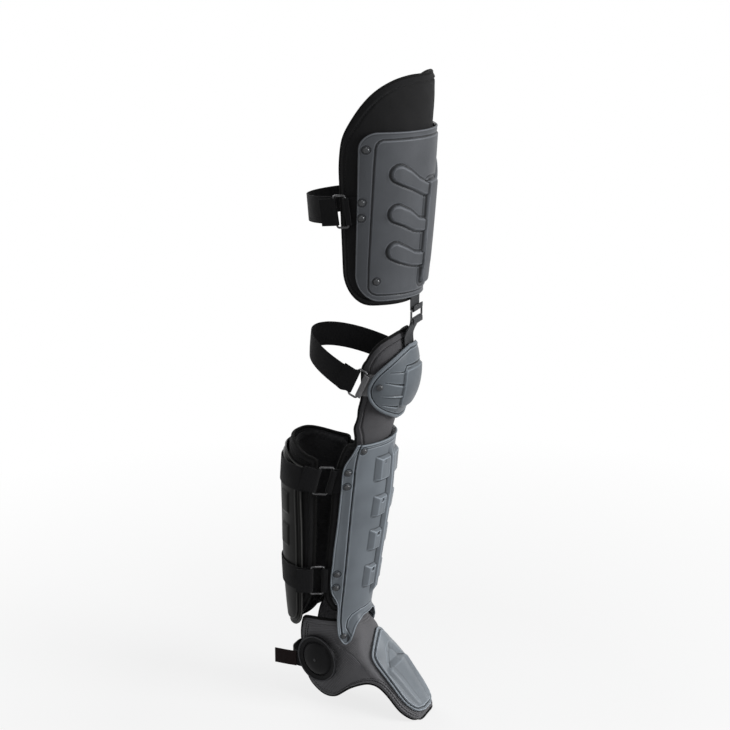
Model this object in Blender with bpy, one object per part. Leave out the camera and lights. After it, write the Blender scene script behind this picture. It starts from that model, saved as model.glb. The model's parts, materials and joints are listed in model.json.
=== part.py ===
"""Hard-shell guard for one right leg: thigh, knee, shin, calf and foot guards joined by webbing.

Frame: the origin is midway between the two side rivets of the knee cup, +X points to the toe, +Z up,
and the outer side of the leg is towards -Y. Every size below is in millimetres and becomes metres as a
mesh is made. Angles go round the leg from its front, in degrees, and are negative on the outer side.
"""

import math

import bmesh
import bpy
from mathutils import Matrix, Vector

MM = 0.001

# Walls and clearances
PLATE_WALL = 3.5
CUP_WALL = 3.5
PAD_THICK = 12.0
FOOT_PAD_THICK = 7.0
WEB_THICK = 1.6
GAP = 0.3
FACET_GAP = 0.9
PANEL_RISE = 1.6
TAB_ROOM = WEB_THICK + 2 * FACET_GAP
PAD_FACE = -PLATE_WALL - TAB_ROOM
WEB_LAY = PAD_FACE + TAB_ROOM / 2

# Rivets: domed heads
RIVET_RADIUS = 4.6
RIVET_RISE = 2.8
RIVET_GAP = 0.6
HINGE_GAP = 0.8
FOOT_RIVET_RADIUS = 4.2

# Straps and their wire loops
WIRE_RADIUS = 1.5
STRAP_WIDTH = 38.0
KNEE_STRAP_WIDTH = 36.0
LOOP_CORNER = 3.0
FOLD = WIRE_RADIUS + GAP + WEB_THICK / 2
TAB_RETURN = 6.0
STRAP_RETURN = 22.0

# Thigh guard
THIGH_TOP = 364.0
THIGH_BOTTOM = 131.0
THIGH_HALF_TOP = 75.0
THIGH_HALF_BOTTOM = 81.0
THIGH_CORNER_TOP = 24.0
THIGH_CORNER_BOTTOM = 40.0
THIGH_PAD_TOP = 436.0
THIGH_PAD_BOTTOM = 125.0
THIGH_PAD_HALF = 95.0
THIGH_PAD_CORNER_TOP = 80.0
THIGH_PAD_CORNER_BOTTOM = 46.0
THIGH_PAD_THICK = 14.0
THIGH_RIM = 15.0
THIGH_RIDGE_HALF = 5.0
THIGH_RIDGE_RISE = 8.0
THIGH_RIDGE_TOP = 290.0
THIGH_RIDGE_BOTTOM = 150.0
THIGH_STRAP_HEIGHT = 254.0
THIGH_LOOP_LEAN = -6.0
THIGH_TAB_START = -64.0
THIGH_LOOP_FRONT = -38.0
THIGH_LOOP_REAR = -56.0
THIGH_ARC_RADIUS = 84.0
# Each rivet as its share of the plate's half angle, and its height.
THIGH_RIVETS = ((0.912, 340.0), (0.955, 267.0), (0.948, 243.0), (0.770, 160.0))

# Knee guard
CUP_TOP = 57.0
CUP_BOTTOM = -57.0
CUP_PANEL_SHARE = 0.36
CUP_PANEL_RISE = 3.0
KNEE_PAD_TOP = 80.0
KNEE_SEAM = -66.0
KNEE_HINGE_X = -46.0
KNEE_LOOP_FRONT = -27.0
KNEE_LOOP_REAR = -40.0
KNEE_STRAP_HEIGHT = 0.0
KNEE_LOOP_LEAN = 22.0
KNEE_TAB_START = -58.0
KNEE_BULGE = 0.6

# Link webbing and its wire ring
LINK_X = 33.0
LINK_WEB_TOP = 150.0
LINK_WEB_BOTTOM = 40.0
LINK_RING_TOP = 107.0
LINK_RING_BOTTOM = 92.0
LINK_WEB_WIDTH = 24.0

# Shin guard
SHIN_TOP = -80.0
SHIN_TOP_DROP = 9.0
SHIN_BOTTOM = -372.0
SHIN_PANEL_SHARE = 0.72
SHIN_RIDGE_HALF = 5.0
SHIN_RIDGE_RISE = 8.0
SHIN_RIDGE_TOP = -104.0
SHIN_RIDGE_BOTTOM = -336.0
SHIN_PAD_BOTTOM = -362.0
SHIN_RIVETS = ((-46.0, -100.0), (-65.0, -133.0), (-63.0, -155.0), (-61.5, -298.0), (-61.5, -320.0))
TONGUE_RIVET = (-50.0, -398.0)
SHIN_TAB_START = -54.0
CALF_LOOP_FLARE = 6.5
# The calf straps, each as name, height, front and rear bar of its loop, and its hinge on the inner side.
CALF_STRAPS = (("upper", -148.0, -73.0, -93.0, -84.0), ("lower", -309.0, -89.0, -107.0, -94.0))

# Calf guard
CALF_TOP = -112.0
CALF_TOP_DROP = 18.0
CALF_BOTTOM = -402.0
CALF_PAD_MARGIN = 11.0
CALF_PANEL_RISE = 3.0

# Foot guard
FOOT_TAPER = 0.0016
FOOT_ARCH_SHARE = 0.6
INSTEP_START = 3.0
INSTEP_END = 12.5
INSTEP_RISE = 3.0
DISC_CENTRE = (-96.0, -445.0)
DISC_RADIUS = 36.5
DISC_FLANGE_RADIUS = 27.2
DISC_FLANGE_THICK = 1.2
DISC_HOLE = DISC_FLANGE_RADIUS + GAP
DISC_THICK = 4.0
DISC_DOME_RADIUS = 25.5
DISC_DOME_RISE = 9.0
HEEL_STRAP_WIDTH = 24.0
HEEL_STRAP_HEIGHT = -458.0
HEEL_STRAP_START = -118.0
HEEL_STRAP_REAR = ((-147.0, -28.0), (-157.0, -19.0), (-162.0, -6.0))
HEEL_TAIL = 40.0

SIDES = ((-1, "outer"), (1, "inner"))

DARK = (0.035, 0.037, 0.040)
SHELL_DARK = (0.075, 0.080, 0.088)
SHELL_GREY = (0.155, 0.175, 0.195)
STEEL = (0.30, 0.30, 0.31)


def smooth(low, high, value):
    """0 below low, 1 above high, and an even rise between them."""
    share = min(max((value - low) / (high - low), 0.0), 1.0)
    return share * share * (3.0 - 2.0 * share)


def read_curve(points, where):
    """The value at a place on a curve through (place, value) points, without overshoot between them."""
    if where <= points[0][0]:
        return points[0][1]
    for (x0, y0), (x1, y1) in zip(points, points[1:]):
        if where <= x1:
            before = after = (y1 - y0) / (x1 - x0)
            index = points.index((x0, y0))
            if index > 0:
                xb, yb = points[index - 1]
                slope = (y0 - yb) / (x0 - xb)
                before = (before + slope) / 2 if before * slope > 0 else 0.0
            if index + 2 < len(points):
                xa, ya = points[index + 2]
                slope = (ya - y1) / (xa - x1)
                after = (after + slope) / 2 if after * slope > 0 else 0.0
            span = x1 - x0
            s = (where - x0) / span
            rise = (2 * s**3 - 3 * s**2 + 1) * y0 + (3 * s**2 - 2 * s**3) * y1
            return rise + span * ((s**3 - 2 * s**2 + s) * before + (s**3 - s**2) * after)
    return points[-1][1]


class LegShape:
    """A surface round the leg, from stations of (height, centre x, front radius, rear radius, half width)."""

    def __init__(self, *stations):
        ordered = sorted(stations)
        self.curves = [[(row[0], row[k]) for row in ordered] for k in range(1, 5)]

    def point(self, angle, height, out=0.0):
        """The point at this angle and height, moved out from the surface."""
        centre, front, rear, side = (read_curve(curve, height) for curve in self.curves)
        turn = math.radians(angle)
        along = front if math.cos(turn) > 0 else rear
        at = Vector((centre + along * math.cos(turn), side * math.sin(turn), height))
        normal = Vector((math.cos(turn) / along, math.sin(turn) / side, 0.0)).normalized()
        return at + normal * out

    def side_angle(self, x, height, side=-1):
        """The angle of the outer (-1) or inner (+1) flank at this x."""
        low, high = 0.0, 180.0
        for _ in range(40):
            middle = (low + high) / 2
            if self.point(side * middle, height).x > x:
                low = middle
            else:
                high = middle
        return side * low

    def arc(self, angle, height):
        """The length along the surface of one degree at this place."""
        return (self.point(angle + 0.5, height) - self.point(angle - 0.5, height)).length

    def normal(self, angle, height):
        """The outward direction at this angle and height, with the slope of the surface in it."""
        step = 1.0
        across = self.point(angle + step, height) - self.point(angle - step, height)
        up = self.point(angle, height + step) - self.point(angle, height - step)
        return across.cross(up).normalized()


THIGH = LegShape(
    (440.0, -48.0, 108.0, 100.0, 92.0),
    (293.0, -44.0, 97.0, 92.0, 85.0),
    (167.0, -42.0, 88.0, 84.0, 79.0),
    (120.0, -42.0, 83.0, 80.0, 75.0),
)
CUP = LegShape(
    (60.0, -19.0, 48.5, 30.0, 38.0),
    (40.0, -19.0, 52.0, 40.0, 53.5),
    (20.0, -19.0, 54.0, 45.0, 56.5),
    (-8.0, -19.0, 51.0, 45.0, 58.0),
    (-30.0, -19.0, 43.0, 40.0, 55.0),
    (-46.0, -19.0, 33.0, 30.0, 46.0),
    (-60.0, -19.0, 24.0, 24.0, 34.0),
)
KNEE_PAD = LegShape(
    (84.0, -19.0, 39.0, 104.0, 48.0),
    (60.0, -20.0, 39.0, 106.0, 49.0),
    (40.0, -22.0, 46.0, 106.0, 50.0),
    (0.0, -25.0, 48.0, 104.0, 50.0),
    (-36.0, -31.0, 40.0, 100.0, 51.5),
    (-57.0, -38.0, 35.0, 96.0, 54.0),
    (-66.0, -44.0, 41.0, 92.0, 55.0),
)
SHIN = LegShape(
    (-60.0, -42.0, 47.0, 92.0, 61.0),
    (-66.0, -44.0, 48.7, 92.0, 61.2),
    (-80.0, -50.0, 53.0, 88.0, 63.0),
    (-110.0, -66.0, 64.0, 82.0, 66.0),
    (-163.0, -84.0, 75.0, 84.0, 66.0),
    (-235.0, -98.0, 77.0, 76.0, 62.0),
    (-320.0, -105.0, 71.0, 68.0, 57.5),
    (-376.0, -107.0, 65.0, 61.0, 54.5),
    (-398.0, -107.0, 71.0, 59.0, 58.5),
    (-420.0, -107.0, 76.0, 57.0, 61.5),
)
CALF = LegShape(
    (-95.0, -86.0, 80.0, 82.0, 70.0),
    (-126.0, -92.0, 80.0, 80.0, 70.0),
    (-170.0, -97.0, 80.0, 79.0, 69.5),
    (-222.0, -100.0, 76.0, 76.0, 67.0),
    (-305.0, -106.0, 69.0, 69.0, 61.5),
    (-381.0, -107.0, 60.0, 60.0, 56.0),
    (-420.0, -107.0, 55.0, 55.0, 51.0),
)

# Outlines: the cup, the wings of the knee pad and the side edges of the shin plate and its pad, each as
# (height, half angle), and the shin plate's lower edge as (angle, drop below its front).
CUP_EDGE = ((-57.0, 16.0), (-52.0, 33.0), (-46.0, 50.0), (-37.0, 69.0), (-23.0, 84.0), (-7.0, 89.0),
            (5.0, 86.0), (21.0, 75.0), (39.0, 52.0), (52.0, 30.0), (57.0, 16.0))
KNEE_PAD_EDGE = ((-66.0, 90.0), (-45.0, 92.0), (-20.0, 91.5), (0.0, 93.0), (20.0, 94.0), (42.0, 87.0),
                 (58.0, 74.0), (72.0, 48.0), (80.0, 22.0))
SHIN_EDGE = ((-412.0, 53.0), (-400.0, 57.0), (-375.0, 57.5), (-348.0, 58.5), (-330.0, 67.0), (-275.0, 68.5),
             (-219.0, 67.5), (-163.0, 69.5), (-130.0, 72.5), (-122.0, 72.0), (-106.0, 67.0), (-89.0, 64.0))
SHIN_PAD_EDGE = ((-362.0, 62.0), (-345.0, 74.0), (-320.0, 76.0), (-220.0, 75.0), (-160.0, 79.0),
                 (-122.0, 81.0), (-85.0, 80.0), (-67.0, 84.0))
CALF_EDGE = ((-402.0, 12.0), (-400.0, 26.0), (-394.0, 42.0), (-385.0, 53.0), (-372.0, 61.0), (-342.0, 73.0),
             (-294.0, 77.0), (-189.0, 74.0), (-112.0, 72.0))
CALF_PAD_EDGE = ((-409.0, 14.0), (-406.0, 28.0), (-398.0, 42.0), (-386.0, 50.0), (-370.0, 57.0),
                 (-350.0, 72.0), (-320.0, 84.0), (-294.0, 88.0), (-217.0, 88.5), (-112.0, 85.0))
SHIN_LOWER = ((0.0, 0.0), (18.0, 2.0), (30.0, 9.0), (38.0, 22.0), (44.0, 36.0), (49.0, 40.0),
              (54.0, 36.0), (58.0, 26.0))
INSTEP_EDGE = ((3.0, 0.04), (5.0, 0.16), (7.0, 0.33), (8.0, 0.37), (11.0, 0.40), (12.0, 0.37), (12.5, 0.26))

# The foot pad is an arch that turns from round the ankle to across the instep. Each station holds the
# front point (x, z) of its arch, the tilt of the arch's legs below -X, the reach of the legs, and the
# half width and the depth of the round part.
FOOT = (
    (-48.5, -378.0, 3.0, 82.0, 43.0, 43.0),
    (-43.0, -383.0, 13.0, 96.0, 40.5, 43.0),
    (-38.5, -387.0, 26.0, 110.0, 38.0, 43.0),
    (-33.0, -391.0, 37.0, 128.0, 38.0, 43.0),
    (-28.0, -395.0, 47.0, 141.0, 40.0, 42.0),
    (-23.0, -400.0, 54.5, 137.0, 41.0, 41.0),
    (-18.0, -406.0, 58.0, 117.0, 42.0, 40.0),
    (-12.0, -414.0, 58.0, 85.0, 43.0, 38.0),
    (-3.0, -425.0, 60.0, 54.0, 44.0, 34.0),
    (9.0, -441.0, 60.0, 35.0, 44.0, 28.0),
    (23.0, -460.0, 62.0, 28.0, 44.0, 24.0),
    (40.0, -484.0, 62.0, 25.0, 42.0, 20.0),
    (53.0, -503.0, 62.0, 17.0, 38.0, 14.0),
    (60.0, -516.0, 60.0, 8.0, 30.0, 7.0),
)


def material(name, color, roughness, metallic=0.0):
    """A plain Principled material."""
    made = bpy.data.materials.new(name)
    made.use_nodes = True
    shader = made.node_tree.nodes["Principled BSDF"]
    shader.inputs["Base Color"].default_value = (*color, 1.0)
    shader.inputs["Roughness"].default_value = roughness
    shader.inputs["Metallic"].default_value = metallic
    made.diffuse_color = (*color, 1.0)
    return made


FINISHES = {
    "thigh_shell": (SHELL_DARK, 0.45, 0.0),
    "shell": (SHELL_GREY, 0.42, 0.0),
    "calf_shell": (DARK, 0.5, 0.0),
    "fabric": (DARK, 0.95, 0.0),
    "webbing": (DARK, 0.9, 0.0),
    "rivet": (SHELL_DARK, 0.3, 0.0),
    "wire": (STEEL, 0.3, 1.0),
    "disc": (DARK, 0.45, 0.0),
}


def add_object(name, mesh, finish, parent):
    """Links a mesh as a named object with a material of its own, under its body's empty."""
    made = bpy.data.objects.new(name, mesh)
    bpy.context.scene.collection.objects.link(made)
    mesh.materials.append(material(name + "_" + finish, *FINISHES[finish]))
    made.parent = parent
    made.matrix_parent_inverse = Matrix.Translation(-parent.location)
    return made


def add_pivot(name, x=0.0, y=0.0, z=0.0):
    """An empty on a body's joint axis."""
    pivot = bpy.data.objects.new(name, None)
    bpy.context.scene.collection.objects.link(pivot)
    pivot.location = Vector((x, y, z)) * MM
    return pivot


def grid_solid(name, rows, columns, outer, inner, finish, parent):
    """A closed shell between two surfaces that are read at each row and column."""
    mesh = bmesh.new()
    faces = [[[mesh.verts.new(read(r, c) * MM) for c in columns] for r in rows] for read in (outer, inner)]
    for i in range(len(rows) - 1):
        for j in range(len(columns) - 1):
            for grid, flip in ((faces[0], False), (faces[1], True)):
                corners = [grid[i][j], grid[i][j + 1], grid[i + 1][j + 1], grid[i + 1][j]]
                mesh.faces.new(corners[::-1] if flip else corners)
    last_row, last_column = len(rows) - 1, len(columns) - 1
    border = [(0, j) for j in range(last_column)] + [(i, last_column) for i in range(last_row)]
    border += [(last_row, j) for j in range(last_column, 0, -1)] + [(i, 0) for i in range(last_row, 0, -1)]
    for (i, j), (k, m) in zip(border, border[1:] + border[:1]):
        mesh.faces.new([faces[0][i][j], faces[1][i][j], faces[1][k][m], faces[0][k][m]])
    return finish_mesh(name, mesh, finish, parent)


def finish_mesh(name, mesh, finish, parent):
    """Turns a bmesh into an object, with its faces pointing out and its round faces smooth."""
    bmesh.ops.recalc_face_normals(mesh, faces=mesh.faces)
    data = bpy.data.meshes.new(name)
    mesh.to_mesh(data)
    mesh.free()
    data.shade_smooth()
    data.set_sharp_from_angle(angle=math.radians(35.0))
    return add_object(name, data, finish, parent)


def corner_rows(low, high, low_corner, high_corner, middle, corner_steps=4):
    """Heights between two ends, closer together in the corners' rounding."""
    ends = [1.0 - math.cos(math.radians(90.0 * k / corner_steps)) for k in range(corner_steps + 1)]
    rows = [low + low_corner * share for share in ends]
    start, stop = low + low_corner, high - high_corner
    rows += [start + (stop - start) * k / (middle + 1) for k in range(1, middle + 1)]
    rows += [high - high_corner * share for share in reversed(ends)]
    return rows


def rounded_half(height, low, high, low_corner, high_corner, low_half, high_half):
    """A half angle at this height on the thigh, for an outline whose corners are rounded."""
    half = low_half + (high_half - low_half) * (height - low) / (high - low)
    loss = 0.0
    for corner, depth in ((low_corner, height - low), (high_corner, high - height)):
        if corner > 0.0 and depth < corner:
            loss = max(loss, corner - math.sqrt(max(corner**2 - (corner - depth) ** 2, 0.0)))
    return half - math.degrees(loss / THIGH_ARC_RADIUS)


def columns(count, *features):
    """Column shares from -1 to 1: even ones on each half, and those where the relief changes."""
    even = [k / count for k in range(count + 1)]
    kept = [share for share in even
            if share in (0.0, 1.0) or all(abs(share - feature) > 0.3 / count for feature in features)]
    half = sorted(list(features) + kept)
    return [-share for share in reversed(half) if share > 0.0] + half


def across(low, high):
    """The points across a band: its low edge, its middle and its high edge."""
    return low, (low + high) / 2, high


def ribbon(name, rows, parent):
    """A webbing band, from the rows of points across it."""
    mesh = bmesh.new()
    rings = []
    for k, row in enumerate(rows):
        ahead = (rows[min(k + 1, len(rows) - 1)][1] - row[1]).normalized()
        behind = (row[1] - rows[max(k - 1, 0)][1]).normalized()
        along = (ahead + behind).normalized()
        bend = max(ahead.dot(behind), 0.0) if 0 < k < len(rows) - 1 else 1.0
        face = along.cross(row[2] - row[0]).normalized() * (WEB_THICK / 2 / math.sqrt((1.0 + bend) / 2))
        ring = [point - face for point in row] + [point + face for point in reversed(row)]
        rings.append([mesh.verts.new(point * MM) for point in ring])
    sides = len(rings[0])
    for one, two in zip(rings, rings[1:]):
        for k in range(sides):
            mesh.faces.new([one[k], one[(k + 1) % sides], two[(k + 1) % sides], two[k]])
    mesh.faces.new(rings[0][::-1])
    mesh.faces.new(rings[-1])
    return finish_mesh(name, mesh, "webbing", parent)


def band_on(shape, places, width, out):
    """The rows of a band that lies square to its own way along (angle, height) places on a shape."""
    rows = []
    for k, (angle, height) in enumerate(places):
        first, last = places[max(k - 1, 0)], places[min(k + 1, len(places) - 1)]
        scale = shape.arc(angle, height)
        run, rise = abs(last[0] - first[0]) * scale, last[1] - first[1]
        if last[0] < first[0]:
            rise = -rise
        reach = width / 2 / math.hypot(run, rise)
        turn, climb = -rise * reach / scale, run * reach
        rows.append([shape.point(angle + turn * k, height + climb * k, out) for k in (-1, 0, 1)])
    return rows


def level(at, width):
    """The points across a band that hangs down the front of the leg."""
    side = Vector((0.0, width / 2, 0.0))
    return across(at - side, at + side)


def fold_on_side(bar, width, start, turn, steps=8):
    """The rows of a fold round a bar that lies along Y, seen from the side, in degrees."""
    rows = []
    for k in range(steps + 1):
        angle = math.radians(start + turn * k / steps)
        rows.append(level(bar + Vector((math.cos(angle), 0.0, math.sin(angle))) * FOLD, width))
    return rows


class Loop:
    """A wire loop on the outer side: a tab is folded round its front bar and a strap round its rear bar.

    It lies on a face of the shape. Its lean is its rise to the rear in degrees, and its flare is how far
    its rear bar stands out beyond its front bar.
    """

    def __init__(self, shape, height, front_x, rear_x, lean, width, face, flare=0.0):
        self.shape, self.height, self.width, self.face = shape, height, width, face
        self.front_angle = shape.side_angle(front_x, height)
        self.rear_angle = shape.side_angle(rear_x, height)
        self.rise = math.tan(math.radians(lean)) * shape.arc(self.front_angle, height)
        out = face + TAB_ROOM / 2 + WEB_THICK / 2 + GAP + WIRE_RADIUS
        places = [(angle, self.height_at(angle)) for angle in (self.front_angle, self.rear_angle)]
        front, rear = band_on(shape, places, width, out)
        self.front = front[1]
        self.up = (front[2] - front[0] + rear[2] - rear[0]).normalized()
        self.rear = rear[1] + self.up.cross(rear[1] - front[1]).normalized() * flare
        along = self.rear - self.front
        self.along = (along - self.up * along.dot(self.up)).normalized()
        self.out = self.up.cross(self.along)

    def height_at(self, angle):
        """The height of the strap's middle at this angle, on its straight way through the loop."""
        return self.height + (self.front_angle - angle) * self.rise

    def row(self, middle):
        """The points across a band at the loop."""
        half = self.up * (self.width / 2)
        return across(middle - half, middle + half)

    def fold(self, bar, first, second, steps=6):
        """A fold round a bar that starts in one direction from it and passes through another."""
        rows = []
        for k in range(steps + 1):
            angle = math.pi * k / steps
            rows.append(self.row(bar + (first * math.cos(angle) + second * math.sin(angle)) * FOLD))
        return rows

    def tab(self, start):
        """A tab from its start under a plate, round the front bar and back."""
        steps = 4
        angles = [start + (self.front_angle + 2.0 - start) * k / steps for k in range(steps)]
        places = [(angle, self.height_at(angle)) for angle in angles]
        rows = band_on(self.shape, places, self.width, self.face + TAB_ROOM / 2)
        rows += self.fold(self.front, -self.out, self.along)
        return rows + [self.row(self.front + self.out * FOLD - self.along * TAB_RETURN)]

    def strap(self):
        """The start of a strap: its loose end on the outside, and the fold round the rear bar."""
        end = self.rear + self.out * FOLD + self.along * STRAP_RETURN
        return [self.row(end)] + self.fold(self.rear, self.out, -self.along)

    def round_leg(self, end_angle, end_height, step=7.0):
        """Places from behind the loop round the back of the leg to the inner side."""
        start = self.rear_angle - step
        count = round((start - end_angle) / step)
        rise = self.rise * (self.rear_angle - end_angle) / math.pi
        places = []
        for k in range(count + 1):
            angle = start + (end_angle - start) * k / count
            share = (self.rear_angle - angle) / (self.rear_angle - end_angle)
            level_height = self.height + (end_height - self.height) * share
            places.append((angle, level_height + rise * math.sin(math.pi * share)))
        return places

    def wire(self, name, parent):
        """The wire itself."""
        half = self.width / 2 + LOOP_CORNER + GAP
        wire_loop(name, self.front, self.rear, half, parent, self.up)


def wire_loop(name, front, rear, half_height, parent, up):
    """A closed rectangle of wire with rounded corners, between a front bar and a rear bar along up."""
    along = (rear - front).normalized()
    corners = []
    for at, way, rise in ((front, -1, 1), (rear, 1, 1), (rear, 1, -1), (front, -1, -1)):
        corner = at + up * (half_height * rise)
        start = corner - up * (LOOP_CORNER * rise) if way == -1 else corner - along * LOOP_CORNER
        stop = corner + along * LOOP_CORNER if way == -1 else corner - up * (LOOP_CORNER * rise)
        if rise < 0:
            start, stop = stop, start
        middle = corner - (along * way + up * rise) * (LOOP_CORNER * (1.0 - math.sqrt(0.5)))
        corners += [start, middle, stop]
    curve = bpy.data.curves.new(name, "CURVE")
    curve.dimensions = "3D"
    curve.bevel_depth = WIRE_RADIUS * MM
    curve.bevel_resolution = 1
    curve.use_fill_caps = True
    spline = curve.splines.new("POLY")
    spline.points.add(len(corners) - 1)
    for point, at in zip(spline.points, corners):
        point.co = (*(at * MM), 1.0)
    spline.use_cyclic_u = True
    return add_object(name, curve, "wire", parent)


def rivet(name, seat, normal, parent, radius=RIVET_RADIUS, finish="rivet"):
    """A domed rivet head that sits a running gap off its plate."""
    mesh = bmesh.new()
    rings, sides = 3, 12
    turn = normal.to_track_quat("Z", "Y").to_matrix().to_4x4()
    base = Matrix.Translation((seat + normal * RIVET_GAP) * MM) @ turn
    levels = []
    for k in range(rings):
        angle = math.radians(90.0 * k / rings)
        reach, rise = radius * math.cos(angle), RIVET_RISE * math.sin(angle)
        levels.append([mesh.verts.new(base @ (Vector((reach * math.cos(a), reach * math.sin(a), rise)) * MM))
                       for a in (2 * math.pi * n / sides for n in range(sides))])
    crown = mesh.verts.new(base @ Vector((0.0, 0.0, RIVET_RISE * MM)))
    mesh.faces.new(levels[0][::-1])
    for lower, upper in zip(levels, levels[1:]):
        for n in range(sides):
            mesh.faces.new([lower[n], lower[(n + 1) % sides], upper[(n + 1) % sides], upper[n]])
    for n in range(sides):
        mesh.faces.new([levels[-1][n], levels[-1][(n + 1) % sides], crown])
    return finish_mesh(name, mesh, finish, parent)


# ---------------------------------------------------------------- thigh guard


def thigh_half(height):
    """Half angle of the thigh plate's outline at this height."""
    return rounded_half(height, THIGH_BOTTOM, THIGH_TOP, THIGH_CORNER_BOTTOM, THIGH_CORNER_TOP,
                        THIGH_HALF_BOTTOM, THIGH_HALF_TOP)


def thigh_relief(angle, height):
    """How far the thigh plate rises over its flat rim: a raised panel and a ridge down the front."""
    edge = thigh_half(height) - math.degrees(THIGH_RIM / THIGH_ARC_RADIUS)
    inside = min(edge - abs(angle), THIGH_TOP - THIGH_RIM / 2 - height, height - THIGH_BOTTOM - THIGH_RIM / 2)
    panel = PANEL_RISE * smooth(0.0, 2.5, inside)
    along = smooth(THIGH_RIDGE_BOTTOM - 4, THIGH_RIDGE_BOTTOM + 4, height)
    along *= 1.0 - smooth(THIGH_RIDGE_TOP - 4, THIGH_RIDGE_TOP + 4, height)
    ridge = 1.0 - smooth(THIGH_RIDGE_HALF - 1, THIGH_RIDGE_HALF + 1.5, abs(angle))
    ridge *= THIGH_RIDGE_RISE - PANEL_RISE
    return panel + along * ridge


def thigh_pad_half(height):
    """Half angle of the thigh pad's outline at this height."""
    return rounded_half(height, THIGH_PAD_BOTTOM, THIGH_PAD_TOP, THIGH_PAD_CORNER_BOTTOM,
                        THIGH_PAD_CORNER_TOP, THIGH_PAD_HALF, THIGH_PAD_HALF)


def build_thigh(pivot):
    """Plate, pad, rivets, tab, loop, strap and the upper link web."""
    rows = corner_rows(THIGH_BOTTOM, THIGH_TOP, THIGH_CORNER_BOTTOM, THIGH_CORNER_TOP, 5)
    grid_solid(
        "thigh_plate", rows, columns(9, 0.05, 0.085, 0.82, 0.86),
        lambda h, c: THIGH.point(c * thigh_half(h), h, thigh_relief(c * thigh_half(h), h)),
        lambda h, c: THIGH.point(c * thigh_half(h), h, -PLATE_WALL),
        "thigh_shell", pivot)
    rows = corner_rows(THIGH_PAD_BOTTOM, THIGH_PAD_TOP, THIGH_PAD_CORNER_BOTTOM, THIGH_PAD_CORNER_TOP, 3)
    grid_solid(
        "thigh_pad", rows, columns(9),
        lambda h, c: THIGH.point(c * thigh_pad_half(h), h, PAD_FACE),
        lambda h, c: THIGH.point(c * thigh_pad_half(h), h, PAD_FACE - THIGH_PAD_THICK),
        "fabric", pivot)
    for side, label in SIDES:
        for k, (share, height) in enumerate(THIGH_RIVETS, 1):
            angle = side * share * thigh_half(height)
            seat = THIGH.point(angle, height, thigh_relief(angle, height))
            rivet(f"thigh_rivet_{label}_{k}", seat, THIGH.normal(angle, height), pivot)
    loop = Loop(THIGH, THIGH_STRAP_HEIGHT, THIGH_LOOP_FRONT, THIGH_LOOP_REAR, THIGH_LOOP_LEAN,
                STRAP_WIDTH, PAD_FACE)
    loop.wire("thigh_loop", pivot)
    ribbon("thigh_tab", loop.tab(THIGH_TAB_START), pivot)
    places = loop.round_leg(-THIGH_TAB_START - 360.0, THIGH_STRAP_HEIGHT)
    ribbon("thigh_strap", loop.strap() + band_on(THIGH, places, STRAP_WIDTH, WEB_LAY), pivot)
    top_bar = Vector((LINK_X, 0.0, LINK_RING_TOP))
    lay = PAD_FACE + GAP + WEB_THICK / 2
    rows = [level(THIGH.point(0.0, height, lay), LINK_WEB_WIDTH) for height in (LINK_WEB_TOP, 138.0, 123.0)]
    rows += fold_on_side(top_bar, LINK_WEB_WIDTH, 170.0, 190.0)
    rows.append(level(top_bar + Vector((FOLD, 0.0, TAB_RETURN)), LINK_WEB_WIDTH))
    ribbon("link_web_upper", rows, pivot)


# ---------------------------------------------------------------- knee guard and link ring


def cup_half(height):
    """Half angle of the knee cup's outline at this height."""
    return read_curve(CUP_EDGE, height)


def cup_relief(angle, height):
    """The cup's raised front panel."""
    share = abs(angle) / cup_half(height)
    ends = smooth(CUP_BOTTOM + 8, CUP_BOTTOM + 16, height)
    ends *= 1.0 - smooth(CUP_TOP - 24, CUP_TOP - 18, height)
    return CUP_PANEL_RISE * ends * (1.0 - smooth(CUP_PANEL_SHARE, CUP_PANEL_SHARE + 0.1, share))


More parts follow.
